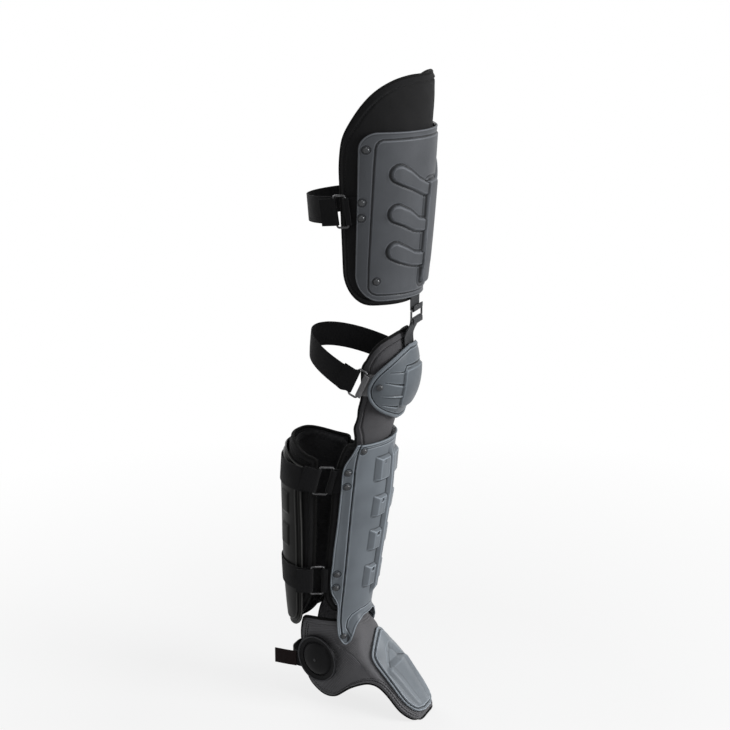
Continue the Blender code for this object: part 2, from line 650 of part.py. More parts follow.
def build_knee(pivot):
    """Cup, pad, side rivets, tab, loop, strap and the lower link web."""
    rows = [CUP_BOTTOM, -54.0, -49.0, -42.0, -34.0, -23.0, -10.0, 4.0, 17.0, 28.0, 36.0, 40.0, 47.0, 53.0,
            CUP_TOP]
    grid_solid(
        "knee_cup", rows, columns(8, CUP_PANEL_SHARE, CUP_PANEL_SHARE + 0.1, 0.9),
        lambda h, c: CUP.point(c * cup_half(h), h, cup_relief(c * cup_half(h), h)),
        lambda h, c: CUP.point(c * cup_half(h), h, -CUP_WALL),
        "shell", pivot)
    rows = [KNEE_SEAM + GAP, -48.0, -24.0, 0.0, 20.0, 42.0, 58.0, 70.0, 77.0, KNEE_PAD_TOP]
    grid_solid(
        "knee_pad", rows, columns(9),
        lambda h, c: KNEE_PAD.point(c * read_curve(KNEE_PAD_EDGE, h), h),
        lambda h, c: KNEE_PAD.point(c * read_curve(KNEE_PAD_EDGE, h), h, -PAD_THICK),
        "fabric", pivot)
    for side, label in SIDES:
        angle = CUP.side_angle(0.0, 0.0, side)
        rivet(f"knee_rivet_{label}", CUP.point(angle, 0.0), CUP.normal(angle, 0.0), pivot)
    loop = Loop(KNEE_PAD, KNEE_STRAP_HEIGHT, KNEE_LOOP_FRONT, KNEE_LOOP_REAR, KNEE_LOOP_LEAN,
                KNEE_STRAP_WIDTH, KNEE_BULGE)
    loop.wire("knee_loop", pivot)
    ribbon("knee_tab", loop.tab(KNEE_TAB_START), pivot)
    places = loop.round_leg(-KNEE_TAB_START - 360.0, KNEE_STRAP_HEIGHT)
    lay = KNEE_BULGE + TAB_ROOM / 2
    ribbon("knee_strap", loop.strap() + band_on(KNEE_PAD, places, KNEE_STRAP_WIDTH, lay), pivot)
    low_bar = Vector((LINK_X, 0.0, LINK_RING_BOTTOM))
    heights = (LINK_WEB_BOTTOM, 52.0, 64.0)
    rows = [level(KNEE_PAD.point(0.0, height, lay), LINK_WEB_WIDTH) for height in heights]
    rows += fold_on_side(low_bar, LINK_WEB_WIDTH, 200.0, -200.0)
    rows.append(level(low_bar + Vector((FOLD, 0.0, -TAB_RETURN)), LINK_WEB_WIDTH))
    ribbon("link_web_lower", rows, pivot)


def build_link(pivot):
    """The wire ring between the two link webs."""
    up = Vector((0.0, 1.0, 0.0))
    top = Vector((LINK_X, 0.0, LINK_RING_TOP))
    low = Vector((LINK_X, 0.0, LINK_RING_BOTTOM))
    wire_loop("link_ring", top, low, LINK_WEB_WIDTH / 2 + LOOP_CORNER + GAP, pivot, up)


# ---------------------------------------------------------------- shin guard


def shin_half(height):
    """Half angle of the shin plate's outline at this height."""
    return read_curve(SHIN_EDGE, height)


def shin_height(share, row):
    """The height on the shin plate of a column share at a row from 0 (lower edge) to 1 (upper edge)."""
    low = SHIN_BOTTOM - read_curve(SHIN_LOWER, abs(share) * SHIN_LOWER[-1][0])
    high = SHIN_TOP - SHIN_TOP_DROP * smooth(0.3, 1.1, abs(share))
    return low + (high - low) * row


def shin_relief(angle, height):
    """The shin plate's raised panel and front ridge."""
    edge = SHIN_PANEL_SHARE * shin_half(height)
    panel = PANEL_RISE * (1.0 - smooth(edge, edge + 1.5, abs(angle)))
    along = smooth(SHIN_RIDGE_BOTTOM - 8, SHIN_RIDGE_BOTTOM + 4, height)
    along *= 1.0 - smooth(SHIN_RIDGE_TOP - 6, SHIN_RIDGE_TOP + 2, height)
    ridge = 1.0 - smooth(SHIN_RIDGE_HALF - 2, SHIN_RIDGE_HALF + 3, abs(angle))
    ridge *= SHIN_RIDGE_RISE - PANEL_RISE
    return panel + along * ridge


def calf_loop(height, front_x, rear_x):
    """The loop of a calf strap."""
    return Loop(SHIN, height, front_x, rear_x, 0.0, STRAP_WIDTH, PAD_FACE, CALF_LOOP_FLARE)


def hinge_seats():
    """The two places of the calf guard's hinge line, on the outer face of the inner tabs."""
    return [SHIN.point(SHIN.side_angle(hinge_x, height, 1), height, WEB_LAY + WEB_THICK / 2)
            for _, height, _, _, hinge_x in CALF_STRAPS]


def hinge_row(height, hinge_x, way):
    """The end of a band at the hinge line: in front of it (1) or behind it (-1)."""
    upper, lower = hinge_seats()
    axis = (upper - lower).normalized()
    angle = SHIN.side_angle(hinge_x, height, 1)
    seat = SHIN.point(angle, height, WEB_LAY + WEB_THICK / 2)
    ahead = SHIN.point(angle - 1.0, height, WEB_LAY) - SHIN.point(angle, height, WEB_LAY)
    out = axis.cross(ahead).normalized()
    ahead = out.cross(axis)
    middle = seat - out * (WEB_THICK / 2) + ahead * (way * HINGE_GAP / 2)
    return across(middle - axis * (STRAP_WIDTH / 2), middle + axis * (STRAP_WIDTH / 2))


def build_shin(pivot):
    """Plate, pad, rivets, four tabs and the two outer loops."""
    rows = [0.0, 0.035, 0.075, 0.115, 0.15, 0.2, 0.22, 0.25, 0.4, 0.55, 0.7, 0.82, 0.88, 0.92, 0.95, 1.0]

    def at(row, share, flat):
        height = shin_height(share, row)
        angle = share * shin_half(shin_height(1.0, row))
        return SHIN.point(angle, height, -PLATE_WALL if flat else shin_relief(angle, height))

    grid_solid("shin_plate", rows, columns(8, 0.045, 0.12, SHIN_PANEL_SHARE, SHIN_PANEL_SHARE + 0.03),
               lambda r, c: at(r, c, False), lambda r, c: at(r, c, True), "shell", pivot)
    rows = [SHIN_PAD_BOTTOM, -358.0, -350.0, -338.0, -310.0, -260.0, -210.0, -165.0, -128.0, -104.0, -84.0,
            KNEE_SEAM]
    grid_solid(
        "shin_pad", rows, columns(8),
        lambda h, c: SHIN.point(c * read_curve(SHIN_PAD_EDGE, h), h, PAD_FACE),
        lambda h, c: SHIN.point(c * read_curve(SHIN_PAD_EDGE, h), h, PAD_FACE - PAD_THICK),
        "fabric", pivot)
    for side, label in SIDES:
        for k, (angle, height) in enumerate(SHIN_RIVETS, 1):
            seat = SHIN.point(-side * angle, height, shin_relief(angle, height))
            rivet(f"shin_rivet_{label}_{k}", seat, SHIN.normal(-side * angle, height), pivot)
        angle, height = TONGUE_RIVET
        seat = SHIN.point(-side * angle, height, shin_relief(angle, height))
        normal = SHIN.normal(-side * angle, height)
        rivet(f"shin_tongue_rivet_{label}", seat, normal, pivot, FOOT_RIVET_RADIUS)
    for label, height, front_x, rear_x, hinge_x in CALF_STRAPS:
        loop = calf_loop(height, front_x, rear_x)
        loop.wire(f"shin_loop_{label}", pivot)
        ribbon(f"shin_tab_outer_{label}", loop.tab(SHIN_TAB_START), pivot)
        hinge_angle = SHIN.side_angle(hinge_x, height, 1)
        steps = 4
        turn = hinge_angle - 4.0 + SHIN_TAB_START
        angles = [-SHIN_TAB_START + turn * k / steps for k in range(steps + 1)]
        rows = band_on(SHIN, [(angle, height) for angle in angles], STRAP_WIDTH, WEB_LAY)
        ribbon(f"shin_tab_inner_{label}", rows + [hinge_row(height, hinge_x, 1.0)], pivot)


# ---------------------------------------------------------------- calf guard


def calf_height(share, row, margin=0.0):
    """The height on the calf guard of a column share at a row from 0 (lower edge) to 1 (upper edge)."""
    high = CALF_TOP + margin - CALF_TOP_DROP * smooth(0.2, 1.0, abs(share))
    return CALF_BOTTOM - margin + (high - CALF_BOTTOM + margin) * row


def build_calf(pivot):
    """Plate, pad and the two straps that run round them."""
    rows = [0.0, 0.02, 0.06, 0.11, 0.16, 0.3, 0.5, 0.7, 0.85, 0.95, 1.0]

    def plate_at(row, share, flat):
        height = calf_height(share, row)
        angle = 180.0 + share * read_curve(CALF_EDGE, calf_height(1.0, row))
        rise = CALF_PANEL_RISE * (1.0 - smooth(0.9, 0.94, abs(share))) * smooth(0.01, 0.05, row)
        rise *= 1.0 - smooth(0.93, 0.97, row)
        return CALF.point(angle, height, -PLATE_WALL if flat else rise)

    def pad_at(row, share, out):
        height = calf_height(share, row, CALF_PAD_MARGIN)
        angle = 180.0 + share * read_curve(CALF_PAD_EDGE, calf_height(1.0, row, CALF_PAD_MARGIN))
        return CALF.point(angle, height, -PLATE_WALL - 2 * FACET_GAP - out)

    grid_solid("calf_plate", rows, columns(9, 0.9, 0.94), lambda r, c: plate_at(r, c, False),
               lambda r, c: plate_at(r, c, True), "calf_shell", pivot)
    grid_solid("calf_pad", rows, columns(9), lambda r, c: pad_at(r, c, 0.0),
               lambda r, c: pad_at(r, c, PAD_THICK), "fabric", pivot)
    lay = CALF_PANEL_RISE + FACET_GAP + WEB_THICK / 2
    for label, height, front_x, rear_x, hinge_x in CALF_STRAPS:
        loop = calf_loop(height, front_x, rear_x)
        places = [(angle, height) for angle in range(-104, -259, -7)]
        rows = loop.strap() + band_on(CALF, places, STRAP_WIDTH, lay) + [hinge_row(height, hinge_x, -1.0)]
        ribbon(f"calf_strap_{label}", rows, pivot)


# ---------------------------------------------------------------- foot guard


FOOT_CURVES = [[(k, row[j]) for k, row in enumerate(FOOT)] for j in range(6)]


def foot_point(station, share):
    """A point of the foot pad's outer face: share is 0 at the front of the arch and 1 at its outer end."""
    x, z, tilt, reach, half, deep = (read_curve(curve, station) for curve in FOOT_CURVES)
    legs = Vector((-math.cos(math.radians(tilt)), 0.0, -math.sin(math.radians(tilt))))
    turn = min(abs(share) / FOOT_ARCH_SHARE, 1.0) * math.pi / 2
    extra = max(abs(share) - FOOT_ARCH_SHARE, 0.0) / (1.0 - FOOT_ARCH_SHARE) * (reach - deep)
    width = half * math.sin(turn) - FOOT_TAPER * extra**2
    at = Vector((x, 0.0, z)) + legs * (deep * (1.0 - math.cos(turn)) + extra)
    return at + Vector((0.0, math.copysign(width, share), 0.0))


def foot_normal(station, share):
    """The outward direction of the foot pad."""
    step, side = 0.05, 0.01
    along = foot_point(min(station + step, 13.0), share) - foot_point(max(station - step, 0.0), share)
    across = foot_point(station, min(share + side, 1.0)) - foot_point(station, max(share - side, -1.0))
    return along.cross(across).normalized()


def foot_at(station, share, out):
    """A point off the foot pad's outer face."""
    return foot_point(station, share) + foot_normal(station, share) * out


def turned(name, profile, centre, normal, finish, parent, sides=28):
    """A solid of revolution from (radius, rise) points; a profile that starts off the axis is a ring."""
    mesh = bmesh.new()
    turn = normal.to_track_quat("Z", "Y").to_matrix().to_4x4()
    base = Matrix.Translation(centre * MM) @ turn
    rings = []
    for radius, rise in profile:
        count = sides if radius > 0.0 else 1
        rings.append([mesh.verts.new(base @ (Vector((radius * math.cos(a), radius * math.sin(a), rise)) * MM))
                      for a in (2 * math.pi * n / count for n in range(count))])
    closed = profile[0][0] > 0.0
    pairs = list(zip(rings, rings[1:] + rings[:1])) if closed else list(zip(rings, rings[1:]))
    for one, two in pairs:
        for n in range(sides):
            m = (n + 1) % sides
            corners = [one[n % len(one)], one[m % len(one)], two[m % len(two)], two[n % len(two)]]
            mesh.faces.new(list(dict.fromkeys(corners)))
    return finish_mesh(name, mesh, finish, parent)


def disc_seat(side):
    """Centre and outward direction of the ankle disc, clear of the pad under it."""
    normal = Vector((-0.25, side, 0.0)).normalized()
    centre = Vector((DISC_CENTRE[0], 0.0, DISC_CENTRE[1]))
    high = -1e9
    for i in range(0, 81):
        for j in range(60, 101, 2):
            place = foot_point(i / 10, side * j / 100) - centre
            rise = place.dot(normal)
            if (place - normal * rise).length < DISC_RADIUS + 1.0:
                high = max(high, rise)
    return centre + normal * (high + GAP), normal


def foot_place(x, height, side):
    """The station and share of the place on the flank of the foot pad at this x and height."""
    low, high = 0.0, len(FOOT) - 1.0
    for _ in range(40):
        station = (low + high) / 2
        front, top, tilt, reach, _, deep = (read_curve(curve, station) for curve in FOOT_CURVES)
        along = (front - x) / math.cos(math.radians(tilt))
        if top - along * math.sin(math.radians(tilt)) > height:
            low = station
        else:
            high = station
    return station, side * (FOOT_ARCH_SHARE + (1.0 - FOOT_ARCH_SHARE) * (along - deep) / (reach - deep))


def build_foot(pivot):
    """Pad, instep plate, two ankle discs and the heel strap."""
    rows = [0.0, 1.0, 2.0, 3.0, 4.0, 5.0, 6.0, 7.0, 8.0, 9.0, 10.0, 11.0, 12.0, 13.0]
    grid_solid("foot_pad", rows, columns(10, FOOT_ARCH_SHARE), foot_point,
               lambda s, c: foot_at(s, c, -FOOT_PAD_THICK), "fabric", pivot)

    def plate_at(station, share, out):
        rise = INSTEP_RISE * (1.0 - smooth(0.78, 0.9, abs(share)))
        rise *= smooth(INSTEP_START + 0.8, INSTEP_START + 2.0, station)
        rise *= 1.0 - smooth(INSTEP_END - 1.0, INSTEP_END - 0.4, station)
        edge = read_curve(INSTEP_EDGE, station)
        return foot_at(station, share * edge, FACET_GAP + (PLATE_WALL + rise) * out)

    rows = [3.0, 4.0, 5.0, 6.0, 7.0, 8.0, 9.0, 10.0, 11.0, 11.6, 12.1, 12.4, 12.5]
    grid_solid("instep_plate", rows, columns(5, 0.78, 0.9),
               lambda s, c: plate_at(s, c, 1.0), lambda s, c: plate_at(s, c, 0.0), "shell", pivot)
    ring = ((DISC_HOLE, 0.0), (DISC_HOLE, DISC_THICK - 1.0), (DISC_HOLE + 1.5, DISC_THICK),
            (DISC_RADIUS - 1.5, DISC_THICK), (DISC_RADIUS, DISC_THICK - 1.5), (DISC_RADIUS, 0.0))
    dome = ((0.0, 0.0), (DISC_FLANGE_RADIUS, 0.0), (DISC_FLANGE_RADIUS, DISC_FLANGE_THICK),
            (DISC_DOME_RADIUS, DISC_FLANGE_THICK), (DISC_DOME_RADIUS, DISC_DOME_RISE * 0.4),
            (DISC_DOME_RADIUS * 0.85, DISC_DOME_RISE * 0.8), (DISC_DOME_RADIUS * 0.5, DISC_DOME_RISE),
            (0.0, DISC_DOME_RISE))
    for side, label in SIDES:
        seat, normal = disc_seat(side)
        turned(f"ankle_ring_{label}", ring, seat, normal, "disc", pivot)
        turned(f"ankle_dome_{label}", dome, seat, normal, "disc", pivot)
    half_band = Vector((0.0, 0.0, HEEL_STRAP_WIDTH / 2))
    near = []
    for x in (HEEL_STRAP_START, HEEL_STRAP_START - 6.0, HEEL_STRAP_START - 12.0):
        edges = [foot_at(*foot_place(x, HEEL_STRAP_HEIGHT + rise, -1), TAB_ROOM / 2)
                 for rise in (-HEEL_STRAP_WIDTH / 2, HEEL_STRAP_WIDTH / 2)]
        near.append(across(*edges))
    rear = [Vector((x, y, HEEL_STRAP_HEIGHT)) for x, y in HEEL_STRAP_REAR]
    rows = near + [across(at - half_band, at + half_band) for at in rear]
    mirrored = [[Vector((at.x, -at.y, at.z)) for at in row] for row in reversed(rows)]
    ribbon("heel_strap", rows + mirrored, pivot)
    start = rear[0] + Vector((-GAP, -WEB_THICK - GAP, 0.0))
    tail = [start, start + Vector((-HEEL_TAIL / 2, -1.0, 0.0)), start + Vector((-HEEL_TAIL, -1.0, 0.0))]
    ribbon("heel_tail", [across(at - half_band, at + half_band) for at in tail], pivot)


def main():
    """Builds the guard, one body after another."""
    for old in list(bpy.data.objects):
        bpy.data.objects.remove(old, do_unlink=True)
    build_shin(add_pivot("shin_guard"))
    build_knee(add_pivot("knee_bend", KNEE_HINGE_X, 0.0, KNEE_SEAM))
    build_link(add_pivot("link_swing", LINK_X, 0.0, LINK_RING_BOTTOM))
    build_thigh(add_pivot("thigh_swing", LINK_X, 0.0, LINK_RING_TOP))
    upper, lower = hinge_seats()
    build_calf(add_pivot("calf_swing", *((upper + lower) / 2)))
    angle, height = TONGUE_RIVET
    build_foot(add_pivot("foot_swing", SHIN.point(angle, height).x, 0.0, height))


if __name__ == "__main__":
    main()
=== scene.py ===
"""Looks for a hard-shell guard for one right leg: moulded shells, padded backings, webbing and wire loops.

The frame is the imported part's own. Sizes are in millimetres and become metres as a mesh is made. Angles
go round the leg from its front, in degrees, and are negative on the outer side.
"""

import logging
import math
from dataclasses import dataclass
from enum import Enum, IntEnum
from typing import Callable, Sequence

import bpy
import numpy as np
from mathutils import Matrix, Vector
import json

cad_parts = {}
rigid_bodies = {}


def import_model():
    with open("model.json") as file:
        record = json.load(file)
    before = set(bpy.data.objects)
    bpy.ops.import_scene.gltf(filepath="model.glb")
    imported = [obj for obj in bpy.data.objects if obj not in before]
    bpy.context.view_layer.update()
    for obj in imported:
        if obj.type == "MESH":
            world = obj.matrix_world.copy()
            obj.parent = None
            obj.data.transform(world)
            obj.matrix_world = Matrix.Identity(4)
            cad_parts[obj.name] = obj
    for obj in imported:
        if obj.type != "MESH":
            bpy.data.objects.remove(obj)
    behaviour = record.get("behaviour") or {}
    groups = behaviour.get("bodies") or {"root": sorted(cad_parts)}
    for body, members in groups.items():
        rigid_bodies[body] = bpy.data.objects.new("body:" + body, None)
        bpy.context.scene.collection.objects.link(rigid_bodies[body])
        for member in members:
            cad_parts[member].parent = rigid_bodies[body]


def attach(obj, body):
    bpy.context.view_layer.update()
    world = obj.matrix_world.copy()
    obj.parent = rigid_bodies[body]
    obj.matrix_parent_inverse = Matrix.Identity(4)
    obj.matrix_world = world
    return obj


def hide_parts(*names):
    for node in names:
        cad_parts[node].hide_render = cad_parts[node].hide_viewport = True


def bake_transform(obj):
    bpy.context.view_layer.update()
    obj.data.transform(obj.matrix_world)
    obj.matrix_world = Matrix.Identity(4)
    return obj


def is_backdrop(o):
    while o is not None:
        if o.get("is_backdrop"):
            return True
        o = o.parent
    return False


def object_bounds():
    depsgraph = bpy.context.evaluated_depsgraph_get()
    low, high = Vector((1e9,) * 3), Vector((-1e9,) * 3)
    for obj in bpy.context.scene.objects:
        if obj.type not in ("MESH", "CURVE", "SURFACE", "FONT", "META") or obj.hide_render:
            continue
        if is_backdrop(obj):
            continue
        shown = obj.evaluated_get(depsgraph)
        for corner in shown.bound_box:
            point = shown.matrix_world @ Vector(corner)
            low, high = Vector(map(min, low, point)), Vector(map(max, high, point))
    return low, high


LOG = logging.getLogger("leg_guard")
MM = 0.001

# Walls, gaps and the room for a tab under a plate
PLATE_WALL = 3.5
SHELL_WALL = 2.6
PAD_THICK = 12.0
FOOT_PAD_THICK = 7.0
WEB_THICK = 1.6
GAP = 0.3
FACET_GAP = 0.9
TAB_ROOM = WEB_THICK + 2 * FACET_GAP
PAD_FACE = -PLATE_WALL - TAB_ROOM
WEB_LAY = PAD_FACE + TAB_ROOM / 2

# Wire loops and webbing
WIRE_RADIUS = 1.5
LOOP_CORNER = 3.0
FOLD = WIRE_RADIUS + GAP + WEB_THICK / 2
TAB_RETURN = 6.0
STRAP_RETURN = 22.0
STRAP_WIDTH = 38.0
KNEE_STRAP_WIDTH = 36.0
LINK_WIDTH = 32.0
CALF_LOOP_FLARE = 6.5
HINGE_GAP = 0.8

# Rivet heads
RIVET_RADIUS = 4.6
TONGUE_RIVET_RADIUS = 4.2
RIVET_RISE = 3.3
RIVET_RIM = 0.5
RIVET_GAP = 0.6
RIVET_SINK = 0.3

Array = np.ndarray
Piece = bpy.types.Object
Socket = bpy.types.NodeSocket
Row = tuple[Vector, ...]
Color = tuple[float, float, float]
Places = tuple[tuple[float, float], ...]
Relief = Callable[[Array, Array], Array]
Spread = Callable[[Array, Array], tuple[Array, Array]]


class Body(Enum):
    """The bodies that pieces ride on."""

    SHIN = "shin_guard"
    KNEE = "knee_guard"
    LINK = "link"
    THIGH = "thigh_guard"
    CALF = "calf_guard"
    FOOT = "foot_guard"


class Side(IntEnum):
    """The two sides of the leg, by the sign of y."""

    OUTER = -1
    INNER = 1

    @property
    def label(self) -> str:
        """The side's name in the names of nodes."""
        return self.name.lower()


def smooth(low: float, high: float, value: Array) -> Array:
    """0 below low, 1 above high, and an even rise between them."""
    share = np.clip((np.asarray(value, float) - low) / (high - low), 0.0, 1.0)
    return share * share * (3.0 - 2.0 * share)


def trough(centre: float, half: float, value: Array) -> Array:
    """1 at the centre and 0 beyond half to each side, with round shoulders."""
    share = np.clip(1.0 - np.abs(np.asarray(value, float) - centre) / half, 0.0, 1.0)
    return share * share * (3.0 - 2.0 * share)


def ramp(low: float, high: float, value: Array) -> Array:
    """0 below low, 1 above high, and a straight slope between them."""
    return np.clip((np.asarray(value, float) - low) / (high - low), 0.0, 1.0)


def unit(ways: Array) -> Array:
    """Directions of length 1 along these."""
    return ways / np.maximum(np.linalg.norm(ways, axis=-1, keepdims=True), 1e-9)


def run_along(points: Array) -> Array:
    """The length of the way to each point from the first."""
    return np.concatenate([[0.0], np.cumsum(np.linalg.norm(np.diff(points, axis=0), axis=1))])


class Curve:
    """A curve through (place, value) points, without overshoot between them."""

    def __init__(self, points: Sequence[tuple[float, float]]) -> None:
        """Works out the slope at each point.

        Args:
            points: The points, by rising place.
        """
        self.x = np.array([p[0] for p in points], float)
        self.y = np.array([p[1] for p in points], float)
        steps = np.diff(self.y) / np.diff(self.x)
        self.slope = np.concatenate([steps[:1], steps[:-1] + steps[1:], steps[-1:]])
        self.slope[1:-1] = np.where(steps[:-1] * steps[1:] > 0, self.slope[1:-1] / 2, 0.0)

    def at(self, where: Array) -> Array:
        """Reads the curve.

        Args:
            where: The places, which are held within the curve's ends.

        Returns:
            The value at each place.
        """
        where = np.clip(np.asarray(where, float), self.x[0], self.x[-1])
        k = np.clip(np.searchsorted(self.x, where, side="left") - 1, 0, len(self.x) - 2)
        span = self.x[k + 1] - self.x[k]
        s = (where - self.x[k]) / span
        flat = (2 * s**3 - 3 * s**2 + 1) * self.y[k] + (3 * s**2 - 2 * s**3) * self.y[k + 1]
        before, after = self.slope[k], self.slope[k + 1]
        return flat + span * ((s**3 - 2 * s**2 + s) * before + (s**3 - s**2) * after)


class LegShape:
    """A surface round the leg, from stations of (height, centre x, front radius, rear radius, half width)."""

    def __init__(self, *stations: tuple[float, ...]) -> None:
        """Keeps one curve for each column of the stations."""
        ordered = sorted(stations)
        self.curves = [Curve([(row[0], row[k]) for row in ordered]) for k in range(1, 5)]

    def points(self, angle: Array, height: Array, out: Array = 0.0) -> Array:
        """Places points on the surface or off it.

        Args:
            angle: Angles round the leg.
            height: Heights, one for each angle or one for all.
            out: How far each point lies outside the surface.

        Returns:
            The points, with x, y and z along the last axis.
        """
        angle, height = np.broadcast_arrays(np.asarray(angle, float), np.asarray(height, float))
        centre, front, rear, side = (curve.at(height) for curve in self.curves)
        turn = np.radians(angle)
        along = np.where(np.cos(turn) > 0, front, rear)
        normal = unit(np.stack([np.cos(turn) / along, np.sin(turn) / side], -1))
        x = centre + along * np.cos(turn) + normal[..., 0] * out
        y = side * np.sin(turn) + normal[..., 1] * out
        return np.stack([x, y, height], -1)

    def point(self, angle: float, height: float, out: float = 0.0) -> Vector:
        """One point of the surface."""
        return Vector(self.points(angle, height, out))

    def side_angle(self, x: float, height: float, side: Side = Side.OUTER) -> float:
        """The angle at which a flank is met at this x and height."""
        low, high = 0.0, 180.0
        for _ in range(40):
            middle = (low + high) / 2
            low, high = (middle, high) if self.point(side * middle, height).x > x else (low, middle)
        return side * low

    def arc(self, angle: float, height: float) -> float:
        """The length along the surface of one degree at this place."""
        return (self.point(angle + 0.5, height) - self.point(angle - 0.5, height)).length

    def normal(self, angle: float, height: float) -> Vector:
        """The outward direction at this place, with the slope of the surface in it."""
        across = self.point(angle + 1.0, height) - self.point(angle - 1.0, height)
        up = self.point(angle, height + 1.0) - self.point(angle, height - 1.0)
        return across.cross(up).normalized()


class Outline:
    """A closed outline on a surface laid flat, in millimetres: x along the arc and y up."""

    def __init__(self, points: Array, rounding: int = 0) -> None:
        """Keeps the outline's points, with their corners cut a few times where rounding is given."""
        points = np.asarray(points, float)
        for _ in range(rounding):
            ahead = np.roll(points, -1, axis=0)
            points = np.stack([0.75 * points + 0.25 * ahead, 0.25 * points + 0.75 * ahead], 1).reshape(-1, 2)
        self.points = points

    def depth(self, x: Array, y: Array) -> Array:
        """Measures how far inside the outline places lie.

        Args:
            x: The places along the arc.
            y: The places up.

        Returns:
            The distance from the outline, below 0 outside it.
        """
        near = np.full(x.shape, 1e9)
        inside = np.zeros(x.shape, bool)
        for (x0, y0), (x1, y1) in zip(self.points, np.roll(self.points, -1, axis=0)):
            dx, dy = x1 - x0, y1 - y0
            along = np.clip(((x - x0) * dx + (y - y0) * dy) / max(dx * dx + dy * dy, 1e-12), 0.0, 1.0)
            near = np.minimum(near, (x - x0 - along * dx) ** 2 + (y - y0 - along * dy) ** 2)
            if dy != 0.0:
                inside ^= ((y0 > y) != (y1 > y)) & (x < x0 + (y - y0) * dx / dy)
        return np.where(inside, 1.0, -1.0) * np.sqrt(near)

    def walk(self, step: float, inset: float = 0.0) -> Array:
        """Walks round the outline in even steps.

        Args:
            step: The distance between points.
            inset: How far inside the outline they lie.

        Returns:
            The points, without those that a tight corner pushes out.
        """
        ring = np.vstack([self.points, self.points[:1]])
        run = run_along(ring)
        count = max(int(round(run[-1] / step)), 8)
        at = np.linspace(0.0, run[-1], count, endpoint=False)
        even = np.stack([np.interp(at, run, ring[:, k]) for k in (0, 1)], 1)
        if inset == 0.0:
            return even
        ahead = np.roll(even, -3, axis=0) - np.roll(even, 3, axis=0)
        area = np.sum(even[:, 0] * np.roll(even[:, 1], -1) - np.roll(even[:, 0], -1) * even[:, 1])
        inward = np.stack([-ahead[:, 1], ahead[:, 0]], 1) * math.copysign(1.0, area)
        moved = even + unit(inward) * inset
        keep = self.depth(moved[:, 0], moved[:, 1]) > inset - 0.35
        return moved[keep]


def line_gap(points: Sequence[tuple[float, float]], x: Array, y: Array) -> tuple[Array, Array]:
    """Measures places against a line of points.

    Args:
        points: The line's points.
        x: The places along the arc.
        y: The places up.

    Returns:
        Each place's distance from the line, and the share of the line's length at the nearest spot on it.
    """
    near, share = np.full(x.shape, 1e9), np.zeros(x.shape)
    lengths = [math.dist(a, b) for a, b in zip(points, points[1:])]
    done = 0.0
    for (x0, y0), (x1, y1), length in zip(points, points[1:], lengths):
        dx, dy = x1 - x0, y1 - y0
        along = np.clip(((x - x0) * dx + (y - y0) * dy) / (dx * dx + dy * dy), 0.0, 1.0)
        gap = np.hypot(x - x0 - along * dx, y - y0 - along * dy)
        share = np.where(gap < near, (done + along * length) / sum(lengths), share)
        near = np.minimum(near, gap)
        done += length
    return near, share


THIGH = LegShape(
    (440, -48, 108, 100, 92),
    (293, -44, 95.8, 92, 85),
    (167, -42, 83.2, 84, 79),
    (120, -42, 78, 80, 75),
)
CUP = LegShape(
    (60, -19, 48.5, 30, 38),
    (40, -19, 52, 40, 53.5),
    (20, -19, 54, 45, 56.5),
    (-8, -19, 51, 45, 58),
    (-30, -19, 43, 40, 55),
    (-46, -19, 33, 30, 46),
    (-60, -19, 24, 24, 34),
)
KNEE_STATIONS = (
    (84, -19, 39, 104, 48),
    (60, -20, 39, 106, 49),
    (40, -22, 46, 106, 50),
    (0, -25, 48, 104, 50),
    (-36, -31, 40, 100, 51.5),
)
KNEE_PAD = LegShape(*KNEE_STATIONS, (-57, -38, 35, 96, 54), (-66, -44, 41, 92, 55))
KNEE_COVER = LegShape(
    *KNEE_STATIONS,
    (-57, -38, 37, 96, 54),
    (-66, -44, 40.8, 92, 55),
    (-80, -50, 42.6, 84, 56.1),
    (-96, -58.6, 47.3, 78.5, 57.8),
)
SHIN = LegShape(
    (-60, -42, 43.5, 92, 61),
    (-66, -44, 44.5, 92, 61.2),
    (-80, -50, 47.5, 88, 63),
    (-110, -66, 60, 82, 66),
    (-163, -84, 74, 84, 66),
    (-235, -98, 77, 76, 62),
    (-320, -105, 71, 68, 57.5),
    (-376, -107, 65, 61, 54.5),
    (-398, -107, 71, 59, 58.5),
    (-420, -107, 76, 57, 61.5),
)
CALF = LegShape(
    (-95, -86, 80, 82, 70),
    (-126, -92, 80, 77.5, 70),
    (-170, -97, 80, 75.5, 69.5),
    (-222, -100, 76, 72.5, 67),
    (-305, -106, 69, 66, 61.5),
    (-381, -107, 60, 60, 56),
    (-420, -107, 55, 55, 51),
)
FOOT_STATIONS = (
    (-48.5, -378, 3, 82, 41, 43),
    (-43, -383, 13, 96, 39.5, 43),
    (-38.5, -387, 26, 110, 38, 43),
    (-33, -391, 37, 128, 38, 43),
    (-28, -395, 47, 141, 40, 42),
    (-23, -400, 54.5, 137, 41, 41),
    (-18, -406, 58, 117, 42, 40),
    (-12, -414, 58, 85, 43, 38),
    (-3, -425, 60, 54, 44, 34),
    (9, -441, 60, 35, 44, 28),
    (23, -460, 62, 28, 44, 24),
    (40, -484, 62, 25, 42, 20),
    (53, -503, 62, 17, 36, 14),
    (60, -516, 60, 8, 24, 7),
)
FOOT_CURVES = [Curve([(k, row[j]) for k, row in enumerate(FOOT_STATIONS)]) for j in range(6)]
FOOT_LAST = float(len(FOOT_STATIONS) - 1)
FOOT_ARCH_SHARE = 0.6
FOOT_TAPER = 0.0016
CREST_DROP = Curve([(0, 0), (3, 0.5), (4.5, 2.5), (6, 4), (9, 5), (11, 4.5), (12, 3.5), (13, 2)])
CREST_POINT = Curve([(0, 0), (3, 0.1), (5, 0.7), (7, 1), (11, 1), (13, 0.7)])
CREST_SOFTNESS = 0.2


